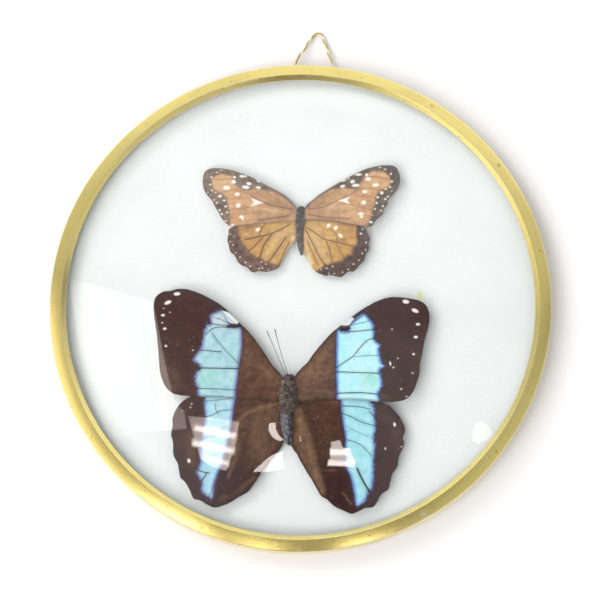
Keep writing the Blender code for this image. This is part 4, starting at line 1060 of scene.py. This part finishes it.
def addWing(name, wing, wings, material, stands, seed):
    # rings of points from a hub out to the outline, laid on the height function, top and underside
    edge = evenly(smoothLine(wings["outlines"][wing], 24, closed=True), wings["around"], closed=True)
    area = 0.5 * np.sum(edge[:, 0] * np.roll(edge[:, 1], -1) - np.roll(edge[:, 0], -1) * edge[:, 1])
    if area < 0:
        edge = edge[::-1]
    hub = edge.mean(axis=0)
    inward = hub - edge
    inward /= np.linalg.norm(inward, axis=1)[:, None]
    frayed = 0.16 + 0.12 * waves(edge, 0.3, seed) + 0.10 * waves(edge, 0.9, seed + 7)
    edge = edge + inward * np.clip(frayed, 0.0, 0.5)[:, None]  # slightly frayed rim
    atRoot = np.clip((wings["tuckFrom"] - np.abs(edge[:, 0])) / 2.5, 0.0, 1.0)
    atRoot *= np.clip((edge[:, 1] + wings["tuckTo"]) / 5.0, 0.0, 1.0)
    edge[:, 0] -= np.sign(edge[:, 0]) * atRoot * wings["tuck"]  # the root reaches under the body
    count, rings = wings["around"], wings["rings"]
    underRings = 8
    top = np.linspace(0.0, 1.0, rings + 1)[1:] ** 0.85
    under = np.linspace(0.0, 1.0, underRings + 1)[1:] ** 0.85
    flat = [hub + (edge - hub) * t for t in top] + [hub + (edge - hub) * t for t in under]
    flat = np.vstack([*flat, hub[None], hub[None]])
    share = np.concatenate([np.repeat(top, count), np.repeat(under, count), [0.0, 0.0]])
    side = np.concatenate([np.ones(rings * count), -np.ones(underRings * count), [1.0, -1.0]])
    lines = wings["lines"][wing]
    veins = strongest(flat, lines)
    surface = hindHeight if wing.startswith("hind") else sheetHeight
    middle = surface(flat, wings)
    relief = 0.05 * veins + 0.05 * waves(flat, 5.0, seed + 1) + 0.02 * waves(flat, 1.6, seed + 2)
    droop = 0.10 * share ** 6 * waves(flat, 3.0, seed + 3)
    half = 0.13 * (1.0 - 0.75 * share ** 10)
    z = middle + relief + droop + side * half
    lean = math.radians(wings["lean"])
    x = wings["place"][0] + flat[:, 0] * math.cos(lean) - flat[:, 1] * math.sin(lean)
    y = wings["place"][1] + flat[:, 0] * math.sin(lean) + flat[:, 1] * math.cos(lean)
    points = np.stack([x, y, z], axis=1)
    hubTop = (rings + underRings) * count
    firstUnder = rings * count
    band = gridFaces(2, count)  # joins the top's last ring to the underside's last ring
    lastTop, lastUnder = (rings - 1) * count, firstUnder + (underRings - 1) * count
    band = np.where(band < count, band + lastTop, band - count + lastUnder)
    faces = [gridFaces(rings, count), fanFaces(hubTop, 0, count, 1), band,
             gridFaces(underRings, count, firstUnder)[:, ::-1], fanFaces(hubTop + 1, firstUnder, count, -1)]
    fields = {
        "bandAt": np.clip(signedTo(flat, smoothLine(wings["bands"][wing], 4, closed=True)), -6.0, 6.0),
        "vein": veins,
        "streak": streakSum(flat, wings["streaks"].get(wing, [])),
        "spotAt": spotField(flat, wings["spots"].get(wing, [])),
        "marginAt": np.clip(distanceTo(flat, edge[::4], closed=True), 0.0, 12.0),
        "veinSoft": strongest(flat, [(line, 5.0 * width, strength) for line, width, strength in lines]),
        "localX": flat[:, 0], "localY": flat[:, 1], "hind": np.full(len(flat), float(surface is hindHeight)),
    }
    bare = wings["costa"].get(wing)
    fields["bareAt"] = signedTo(flat, bare) if bare else np.full(len(flat), -3.0)
    arrow = wings.get("arrows", {}).get(wing)
    fields["arrowAt"] = signedTo(flat, arrow) if arrow else np.full(len(flat), -3.0)
    addPiece(name, points * mm, faces, material, [stands], fields)


def radiating(tree, x, y, fineness):
    # noise that is fast across lines from the wing's root and slow along them
    angle = calc(tree, "MULTIPLY", calc(tree, "ARCTAN2", y, calc(tree, "ABSOLUTE", x)), fineness)
    reach = calc(tree, "MULTIPLY", calc(tree, "SQRT", calc(tree, "ADD", calc(tree, "MULTIPLY", x, x),
                                                          calc(tree, "MULTIPLY", y, y))), 0.14)
    return noiseAt(tree, put(tree, "CombineXYZ", {0: angle, 1: reach}).outputs[0], 1.0, detail=3.0)


def overlay(tree, amount, colour, tone, low, high):
    # lightens where the tone is high and darkens where it is low
    level = ramp(tree, tone, low, high, 0.0, 1.0)
    grey = put(tree, "CombineColor", {0: level, 1: level, 2: level}).outputs[0]
    return mixColour(tree, amount, colour, grey, blend="OVERLAY")


def makeBandedMaterial(wings):
    # brown scales, a pale blue-green band with violet edges, dark lines, white spots
    material, tree, shader = newMaterial("bandedWing")
    place = objectPlace(tree)
    grain = useGroup(tree, grainGroup, {"Vector": place, "Scale": 3200.0, "Coarse": 0.06})
    patches = noiseAt(tree, place, 420.0, detail=4.0)
    x, y, hind = field(tree, "localX"), field(tree, "localY"), field(tree, "hind")
    reach, right = calc(tree, "ABSOLUTE", x), ramp(tree, x, -2.0, 2.0)
    rays = radiating(tree, x, y, 13.0)

    def perWing(foreLeft, foreRight, hindLeft, hindRight):
        return mixColour(tree, hind, mixColour(tree, right, foreLeft, foreRight),
                         mixColour(tree, right, hindLeft, hindRight))

    inner = perWing((0.102, 0.042, 0.022), (0.122, 0.062, 0.043), (0.088, 0.036, 0.017), (0.070, 0.026, 0.012))
    outer = perWing((0.048, 0.011, 0.006), (0.036, 0.009, 0.005), (0.044, 0.012, 0.006), (0.034, 0.007, 0.005))
    brown = mixColour(tree, ramp(tree, reach, 15.0, 30.0), inner, outer)
    brown = mixColour(tree, ramp(tree, y, -19.0, -35.0, 0.0, 0.92), brown, (0.030, 0.004, 0.003))
    # streaks: the wing's own paler and darker scales, and on the left hindwing painted shade and painted reflection
    streak = field(tree, "streak")
    brown = mixColour(tree, calc(tree, "MULTIPLY", streak, 0.85, clamp=True), brown, (0.205, 0.110, 0.060))
    brown = mixColour(tree, calc(tree, "MULTIPLY", streak, -1.0, clamp=True), brown, (0.030, 0.008, 0.006))
    brown = overlay(tree, 0.22, brown, grain["Tone"], 0.3, 0.7)
    brown = overlay(tree, 0.27, brown, patches, 0.3, 0.7)
    brown = overlay(tree, 0.08, brown, rays, 0.3, 0.7)
    bandAt = field(tree, "bandAt")
    # the side away from the body is toothed, the side near it is soft
    outerSide = ramp(tree, reach, 24.0, 30.0)
    fray = calc(tree, "ADD", 0.5, calc(tree, "MULTIPLY", outerSide, 2.0))
    band = useGroup(tree, raggedGroup, {"Vector": place, "Distance": bandAt, "Soft": 0.45, "Fray": fray,
                                        "Scale": 1000.0})["Mask"]
    sky = perWing((0.40, 0.64, 0.71), (0.51, 0.86, 0.92), (0.42, 0.68, 0.79), (0.39, 0.74, 0.82))
    offset = put(tree, "CombineXYZ", {0: reach, 1: y}).outputs[0]
    green = put(tree, "VectorMath", {0: offset, 1: (32.0, 6.0, 0.0)}, operation="DISTANCE").outputs["Value"]
    sky = mixColour(tree, ramp(tree, green, 7.0, 1.5, 0.0, 0.5), sky, (0.36, 0.72, 0.60))
    worn = calc(tree, "MULTIPLY", ramp(tree, y, 22.0, 31.0, 0.0, 0.7), calc(tree, "SUBTRACT", 1.0, right))
    sky = mixColour(tree, worn, sky, (0.60, 0.68, 0.70))
    edgeBlue = perWing((0.16, 0.20, 0.42), (0.11, 0.25, 0.66), (0.15, 0.20, 0.46), (0.13, 0.27, 0.62))
    sky = mixColour(tree, ramp(tree, bandAt, -0.1, 1.7), edgeBlue, sky)
    sky = overlay(tree, 0.14, sky, grain["Tone"], 0.3, 0.7)
    sky = overlay(tree, 0.16, sky, patches, 0.3, 0.7)
    halo = ramp(tree, bandAt, -1.8, -0.2, 0.0, 0.5)
    colour = mixColour(tree, halo, brown, (0.060, 0.028, 0.060))
    colour = mixColour(tree, band, colour, sky)
    vein = field(tree, "vein")
    colour = mixColour(tree, calc(tree, "MULTIPLY", field(tree, "veinSoft"), 0.16), colour, (0.05, 0.05, 0.07))
    colour = mixColour(tree, calc(tree, "MULTIPLY", vein, 1.35, clamp=True), colour, (0.010, 0.011, 0.016))
    bare = useGroup(tree, raggedGroup, {"Vector": place, "Distance": field(tree, "bareAt"), "Soft": 0.3,
                                        "Fray": 0.7, "Scale": 1200.0})["Mask"]
    bare = calc(tree, "MULTIPLY", bare, calc(tree, "SUBTRACT", 1.0, vein))
    colour = mixColour(tree, bare, colour, (0.78, 0.78, 0.77))
    spots = useGroup(tree, raggedGroup, {"Vector": place, "Distance": field(tree, "spotAt"), "Soft": 0.2,
                                         "Fray": 0.35, "Scale": 2200.0})["Mask"]
    colour = mixColour(tree, spots, colour, (0.86, 0.78, 0.73))
    plain = calc(tree, "SUBTRACT", 1.0, calc(tree, "MAXIMUM", spots, bare))
    rimward = calc(tree, "MULTIPLY", ramp(tree, field(tree, "marginAt"), 1.3, 0.1, 0.0, 0.6), plain)
    colour = mixColour(tree, rimward, colour, (0.022, 0.010, 0.009))
    dust = useGroup(tree, speckGroup, {"Vector": place, "Scale": 1300.0, "Rarity": 0.735})["Mask"]
    crumbs = useGroup(tree, speckGroup, {"Vector": place, "Scale": 560.0, "Rarity": 0.73})["Mask"]
    colour = mixColour(tree, calc(tree, "MULTIPLY", crumbs, 0.35), colour, (0.22, 0.15, 0.11))
    colour = mixColour(tree, calc(tree, "MULTIPLY", dust, 0.5), colour, (0.50, 0.42, 0.36))
    feed(tree, shader.inputs["Base Color"], colour)
    rough = calc(tree, "SUBTRACT", 0.62, calc(tree, "MULTIPLY", band, 0.12))
    feed(tree, shader.inputs["Roughness"], calc(tree, "ADD", rough, calc(tree, "MULTIPLY", patches, 0.1)))
    feed(tree, shader.inputs["Specular IOR Level"], 0.08)
    height = calc(tree, "ADD", calc(tree, "MULTIPLY", grain["Height"], 0.5), patches)
    height = calc(tree, "ADD", height, calc(tree, "MULTIPLY", rays, 1.5))
    bump = put(tree, "Bump", {"Strength": 0.5, "Distance": 0.00014, "Height": height})
    feed(tree, shader.inputs["Normal"], bump.outputs[0])
    return material


def makeOrangeMaterial(wings, name, ground, inner, dark):
    # warm ground with dark veins, a dark margin, pale spots; inner is the colour near the body
    material, tree, shader = newMaterial(name)
    place = objectPlace(tree)
    grain = useGroup(tree, grainGroup, {"Vector": place, "Scale": 3200.0, "Coarse": 0.08})
    x, y = field(tree, "localX"), field(tree, "localY")
    reach = calc(tree, "ABSOLUTE", x)
    # painted reflection: the dark margin is a little paler on the left side, for the haze of light mirrored in the
    # glass there
    dark = mixColour(tree, ramp(tree, x, -2.0, 2.0), tuple(1.75 * value for value in dark), dark)
    patches, rays = noiseAt(tree, place, 460.0, detail=4.0), radiating(tree, x, y, 11.0)
    warm = mixColour(tree, ramp(tree, reach, 6.0, 28.0), inner, ground)
    streak = field(tree, "streak")
    warm = mixColour(tree, calc(tree, "MULTIPLY", streak, 0.7, clamp=True), warm, (0.84, 0.60, 0.34))
    warm = mixColour(tree, calc(tree, "MULTIPLY", streak, -1.0, clamp=True), warm, (0.22, 0.085, 0.06))
    warm = overlay(tree, 0.20, warm, grain["Tone"], 0.3, 0.7)
    warm = overlay(tree, 0.16, warm, patches, 0.3, 0.7)
    warm = mixColour(tree, ramp(tree, rays, 0.48, 0.30, 0.0, 0.45), warm, (0.33, 0.19, 0.125))
    warm = mixColour(tree, ramp(tree, rays, 0.55, 0.72, 0.0, 0.4), warm, (0.66, 0.42, 0.17))
    margin = overlay(tree, 0.35, dark, grain["Tone"], 0.3, 0.7)
    margin = overlay(tree, 0.45, margin, patches, 0.3, 0.7)
    band = useGroup(tree, raggedGroup, {"Vector": place, "Distance": field(tree, "bandAt"), "Soft": 0.8,
                                        "Fray": 1.6, "Scale": 700.0})["Mask"]
    colour = mixColour(tree, band, margin, warm)
    colour = mixColour(tree, calc(tree, "MULTIPLY", field(tree, "veinSoft"), 0.30), colour, (0.27, 0.12, 0.08))
    colour = mixColour(tree, calc(tree, "MULTIPLY", field(tree, "vein"), 1.5, clamp=True), colour,
                       (0.12, 0.050, 0.026))
    rimward = ramp(tree, field(tree, "marginAt"), 1.0, 0.1, 0.0, 0.75)
    front = ramp(tree, y, -3.0, 1.0)
    rimward = calc(tree, "MULTIPLY", rimward, calc(tree, "MAXIMUM", front, ramp(tree, reach, 9.0, 16.0)))
    colour = mixColour(tree, rimward, colour, dark)
    arrow = useGroup(tree, raggedGroup, {"Vector": place, "Distance": field(tree, "arrowAt"), "Soft": 0.3,
                                         "Fray": 0.4, "Scale": 1800.0})["Mask"]
    arrowColour = mixColour(tree, ramp(tree, field(tree, "arrowAt"), 0.25, 0.6), (0.86, 0.74, 0.58),
                            (0.80, 0.84, 0.82))
    colour = mixColour(tree, arrow, colour, arrowColour)
    spots = useGroup(tree, raggedGroup, {"Vector": place, "Distance": calc(tree, "SUBTRACT", field(tree, "spotAt"), 0.06), "Soft": 0.26,
                                         "Fray": 0.35, "Scale": 2200.0})["Mask"]
    colour = mixColour(tree, spots, colour, (0.90, 0.84, 0.74))
    feed(tree, shader.inputs["Base Color"], colour)
    feed(tree, shader.inputs["Roughness"], 0.6)
    feed(tree, shader.inputs["Specular IOR Level"], 0.12)
    height = calc(tree, "ADD", grain["Height"], calc(tree, "MULTIPLY", field(tree, "vein"), 1.2))
    bump = put(tree, "Bump", {"Strength": 0.35, "Distance": 0.00006, "Height": height})
    feed(tree, shader.inputs["Normal"], bump.outputs[0])
    return material


bandedMaterial = makeBandedMaterial(largeSet)
orangeMaterial = makeOrangeMaterial(smallSet, "orangeWing", (0.60, 0.325, 0.155), (0.46, 0.255, 0.130),
                                    (0.098, 0.066, 0.048))
goldenMaterial = makeOrangeMaterial(smallSet, "goldenWing", (0.50, 0.25, 0.075), (0.59, 0.335, 0.100),
                                    (0.078, 0.041, 0.031))
for order, wing in enumerate(largeSet["outlines"]):
    addWing("large" + wing.title().replace("_", ""), wing, largeSet, bandedMaterial,
            "large_butterfly_" + wing, 10 * order + 5)
for order, wing in enumerate(smallSet["outlines"]):
    fore = wing.startswith("fore")
    addWing("small" + wing.title().replace("_", ""), wing, smallSet, orangeMaterial if fore else goldenMaterial,
            "small_butterfly_" + wing, 10 * order + 105)
print("wings spread")


# ---- bodies

largeBody = {
    "place": largeSet["place"], "lean": largeSet["lean"],
    # y, middle x, half width, middle z, half depth in mm
    "stations": [
        (8.2, -0.1, 0.8, 6.6, 0.8), (6.8, -0.3, 1.8, 6.7, 1.8), (5.2, -0.4, 1.8, 6.8, 1.9),
        (3.4, -0.3, 2.3, 6.9, 2.6), (0.5, -0.2, 2.6, 7.0, 3.0), (-3.0, -0.4, 2.4, 6.9, 2.8),
        (-5.8, -0.8, 2.1, 6.5, 2.4), (-8.0, -0.9, 2.2, 6.5, 2.5), (-11.5, -0.8, 2.1, 6.4, 2.4),
        (-15.0, -0.3, 1.7, 6.2, 1.9), (-18.0, 0.3, 1.1, 6.0, 1.2), (-19.4, 0.5, 0.5, 5.9, 0.6)],
    "antennae": [
        [(-1.0, 7.2, 7.4), (-2.3, 9.9, 8.0), (-4.7, 15.2, 8.7), (-7.2, 20.9, 9.3), (-9.2, 25.2, 9.6)],
        [(-0.2, 7.4, 7.6), (-1.4, 10.4, 8.4), (-3.3, 16.2, 9.4), (-4.8, 21.2, 10.1), (-6.1, 25.8, 10.5)]],
    "antennaRadii": [0.19, 0.14, 0.12, 0.14, 0.24],
    "eyes": [(-1.45, 6.3, 7.1, 0.85), (0.95, 6.3, 7.1, 0.85)],
    "abdomenFrom": -6.0, "ringPitch": 1.9,
    "hairs": 2600, "hairLength": 2.3, "hairRadius": 0.13, "lump": 0.35,
    "seed": 41,
}

smallBody = {
    "place": smallSet["place"], "lean": smallSet["lean"],
    "stations": [
        (5.9, 0.3, 0.6, 6.0, 0.6), (4.8, 0.3, 1.3, 6.1, 1.2), (3.6, 0.2, 1.25, 6.1, 1.2),
        (2.0, 0.1, 1.7, 6.1, 1.9), (-0.5, 0.0, 1.7, 6.1, 2.0), (-2.6, -0.1, 1.25, 5.9, 1.5),
        (-5.5, -0.1, 1.4, 5.8, 1.5), (-9.0, 0.2, 1.2, 5.7, 1.3), (-12.0, 0.6, 0.9, 5.6, 1.0),
        (-14.2, 0.9, 0.4, 5.5, 0.5)],
    "antennae": [], "antennaRadii": [],
    "eyes": [(-0.65, 4.9, 6.4, 0.55), (1.15, 4.9, 6.4, 0.55)],
    "abdomenFrom": -2.6, "ringPitch": 1.3,
    "hairs": 1400, "hairLength": 1.0, "hairRadius": 0.085, "lump": 0.15,
    "seed": 77,
}


def addBody(name, body, material, stands):
    # an ellipse carried along the back, with rings on the abdomen and a coat of short hairs
    rows, sides = 150, 56
    line = evenly(smoothLine(body["stations"], 10, closed=False), rows, closed=False)
    y, middleX, halfWidth, middleZ, halfDepth = line.T
    turn = math.tau * np.arange(sides) / sides
    rings = 0.06 * np.cos(math.tau * (y - body["abdomenFrom"]) / body["ringPitch"])
    rings = np.where(y < body["abdomenFrom"], rings, 0.0)
    out = np.stack([np.cos(turn), np.zeros(sides), np.sin(turn)], axis=-1)
    size = np.stack([halfWidth + rings, np.zeros(rows), halfDepth + rings], axis=-1)
    middle = np.stack([middleX, y, middleZ], axis=-1)
    skin = (middle[:, None, :] + size[:, None, :] * out[None]).reshape(-1, 3)
    outward = np.stack([np.broadcast_to(np.cos(turn), (rows, sides)) / size[:, :1],
                        np.broadcast_to(0.0 * y[:, None], (rows, sides)),
                        np.broadcast_to(np.sin(turn), (rows, sides)) / size[:, 2:]], axis=-1).reshape(-1, 3)
    outward /= np.linalg.norm(outward, axis=1)[:, None]
    skin += outward * (body["lump"] * waves(skin, 0.55, body["seed"]))[:, None]
    points = [skin, middle[:1], middle[-1:]]
    total = rows * sides
    faces = [gridFaces(rows, sides), fanFaces(total, 0, sides, -1)[:, ::-1], fanFaces(total + 1, (rows - 1) * sides, sides, 1)[:, ::-1]]
    hairy = [np.zeros(total + 2)]
    glossy = [np.repeat(np.clip((body["abdomenFrom"] - y) / 3.5, 0.0, 1.0), sides), np.zeros(2)]
    base = total + 2

    for x, yEye, z, radius in body["eyes"]:
        # a ball: latitude rows between two poles
        lat = np.linspace(-0.5, 0.5, 12)[1:-1] * math.pi
        ball = np.stack([np.cos(lat)[:, None] * np.cos(turn), np.cos(lat)[:, None] * np.sin(turn),
                         np.broadcast_to(np.sin(lat)[:, None], (len(lat), sides))], axis=-1).reshape(-1, 3)
        points += [np.array((x, yEye, z)) + radius * ball, np.array([[x, yEye, z - radius], [x, yEye, z + radius]])]
        count = len(ball)
        faces += [gridFaces(len(lat), sides, base)[:, ::-1], fanFaces(base + count, base, sides, -1),
                  fanFaces(base + count + 1, base + count - sides, sides, 1)]
        hairy.append(np.zeros(count + 2))
        glossy.append(np.full(count + 2, 2.0))
        base += count + 2

    for stem in body["antennae"]:
        # a thin tube whose radius swells to a club at its tip
        radii = np.array(body["antennaRadii"])[:, None]
        tube = evenly(smoothLine(np.hstack([np.array(stem), radii]), 12, closed=False), 70, closed=False)
        ahead = np.gradient(tube[:, :3], axis=0)
        ahead /= np.linalg.norm(ahead, axis=1)[:, None]
        across = np.cross(ahead, (0.0, 0.0, 1.0))
        across /= np.linalg.norm(across, axis=1)[:, None]
        above = np.cross(across, ahead)
        small = math.tau * np.arange(12) / 12
        ring = tube[:, None, :3] + tube[:, None, 3:] * (
            across[:, None, :] * np.cos(small)[None, :, None] + above[:, None, :] * np.sin(small)[None, :, None])
        points += [ring.reshape(-1, 3), tube[:1, :3], tube[-1:, :3]]
        faces += [gridFaces(70, 12, base)[:, ::-1], fanFaces(base + 840, base, 12, 1),
                  fanFaces(base + 841, base + 69 * 12, 12, -1)]
        hairy.append(np.zeros(842))
        glossy.append(np.full(842, 0.5))
        base += 842

    # hairs: thin three-sided spikes, bent back towards the tail
    rng = np.random.default_rng(body["seed"])
    weight = np.repeat(np.where(y > body["abdomenFrom"], 1.0, 0.10), sides)
    chosen = rng.choice(total, body["hairs"], p=weight / weight.sum())
    root, normal = skin[chosen], outward[chosen]
    lean = normal + np.array([0.0, -0.5, 0.0]) + rng.normal(scale=0.5, size=root.shape)
    lean /= np.linalg.norm(lean, axis=1)[:, None]
    length = body["hairLength"] * rng.uniform(0.45, 1.0, len(root))[:, None]
    length *= np.where(root[:, 1:2] > body["abdomenFrom"], 1.0, 0.5)
    bent = lean + np.array([0.0, -0.5, -0.25])
    bent /= np.linalg.norm(bent, axis=1)[:, None]
    across = np.cross(lean, (0.3, 0.2, 1.0))
    across /= np.linalg.norm(across, axis=1)[:, None]
    other = np.cross(lean, across)
    low = root - lean * 0.1
    knee = root + lean * length * 0.5
    tip = knee + bent * length * 0.5
    corners = math.tau * np.arange(3) / 3
    round3 = across[:, None, :] * np.cos(corners)[None, :, None] + other[:, None, :] * np.sin(corners)[None, :, None]
    spikes = np.concatenate([low[:, None] + body["hairRadius"] * round3,
                             knee[:, None] + 0.7 * body["hairRadius"] * round3, tip[:, None]], axis=1)
    start = base + 7 * np.arange(len(root))[:, None]
    quads = [(0, 3, 4, 1), (1, 4, 5, 2), (2, 5, 3, 0)]
    for quad in quads:
        faces.append((start + np.array(quad)[None])[:, ::-1])
    for tri in [(3, 6, 4), (4, 6, 5), (5, 6, 3), (0, 1, 2)]:
        faces.append((start + np.array(tri)[None])[:, ::-1])
    points.append(spikes.reshape(-1, 3))
    # tufts: some fair hairs, most dark
    tufts = waves(root, 0.9, body["seed"] + 3)
    tint = np.clip(2.5 * (rng.uniform(-0.65, 0.45, len(root)) + 0.7 * tufts), 0.0, 1.0)
    hairy.append(np.repeat(tint, 7))
    glossy.append(np.zeros(7 * len(root)))

    points = np.vstack(points)
    turnBy = math.radians(body["lean"])
    c, s = math.cos(turnBy), math.sin(turnBy)
    placed = np.stack([body["place"][0] + points[:, 0] * c - points[:, 1] * s,
                       body["place"][1] + points[:, 0] * s + points[:, 1] * c, points[:, 2]], axis=1)
    addPiece(name, placed * mm, faces, material, [stands],
             {"hairTint": np.concatenate(hairy), "part": np.concatenate(glossy)})


def makeBodyMaterial(name, skin, hair, abdomen, abdomenPaintedGlare, eye):
    # part is 0 on skin and hair, 0.5 on antennae, 1 on the abdomen, 2 on the eyes
    material, tree, shader = newMaterial(name)
    place = objectPlace(tree)
    grain = useGroup(tree, grainGroup, {"Vector": place, "Scale": 2600.0, "Coarse": 0.2})
    hairTint, part = field(tree, "hairTint"), field(tree, "part")
    colour = mixColour(tree, ramp(tree, grain["Tone"], 0.38, 0.6), tuple(0.25 * v for v in skin), skin)
    colour = mixColour(tree, hairTint, colour, hair)
    glints = useGroup(tree, speckGroup, {"Vector": place, "Scale": 900.0, "Rarity": 0.60})["Mask"]
    colour = mixColour(tree, calc(tree, "MULTIPLY", glints, 0.5), colour, (0.42, 0.43, 0.46))
    onAbdomen = ramp(tree, part, 0.1, 0.9)
    across = put(tree, "SeparateXYZ", {0: place}).outputs[0]
    # painted reflection: the abdomen's left side is paler, for light mirrored in the glass over it
    abdomen = mixColour(tree, ramp(tree, across, -0.0022, -0.0010), abdomenPaintedGlare, abdomen)
    colour = mixColour(tree, calc(tree, "MULTIPLY", onAbdomen, 0.85), colour, abdomen)
    colour = mixColour(tree, calc(tree, "MULTIPLY", glints, calc(tree, "MULTIPLY", onAbdomen, 0.4)), colour,
                       (0.50, 0.52, 0.60))
    onEye = ramp(tree, part, 1.3, 1.7)
    colour = mixColour(tree, onEye, colour, eye)
    feed(tree, shader.inputs["Base Color"], colour)
    rough = calc(tree, "SUBTRACT", 0.8, calc(tree, "MULTIPLY", onAbdomen, 0.35))
    feed(tree, shader.inputs["Roughness"], calc(tree, "SUBTRACT", rough, calc(tree, "MULTIPLY", onEye, 0.2)))
    feed(tree, shader.inputs["Specular IOR Level"], 0.2)
    bump = put(tree, "Bump", {"Strength": 0.5, "Distance": 0.0001, "Height": grain["Height"]})
    feed(tree, shader.inputs["Normal"], bump.outputs[0])
    return material


addBody("largeBody", largeBody,
        makeBodyMaterial("furBody", (0.170, 0.115, 0.088), (0.50, 0.40, 0.32), (0.020, 0.024, 0.060),
                         (0.15, 0.14, 0.17), (0.02, 0.015, 0.012)),
        "large_butterfly_body")
addBody("smallBody", smallBody,
        makeBodyMaterial("greyBody", (0.090, 0.072, 0.066), (0.46, 0.43, 0.40), (0.085, 0.066, 0.060),
                         (0.085, 0.066, 0.060), (0.02, 0.02, 0.02)),
        "small_butterfly_body")
print("bodies and hairs grown")
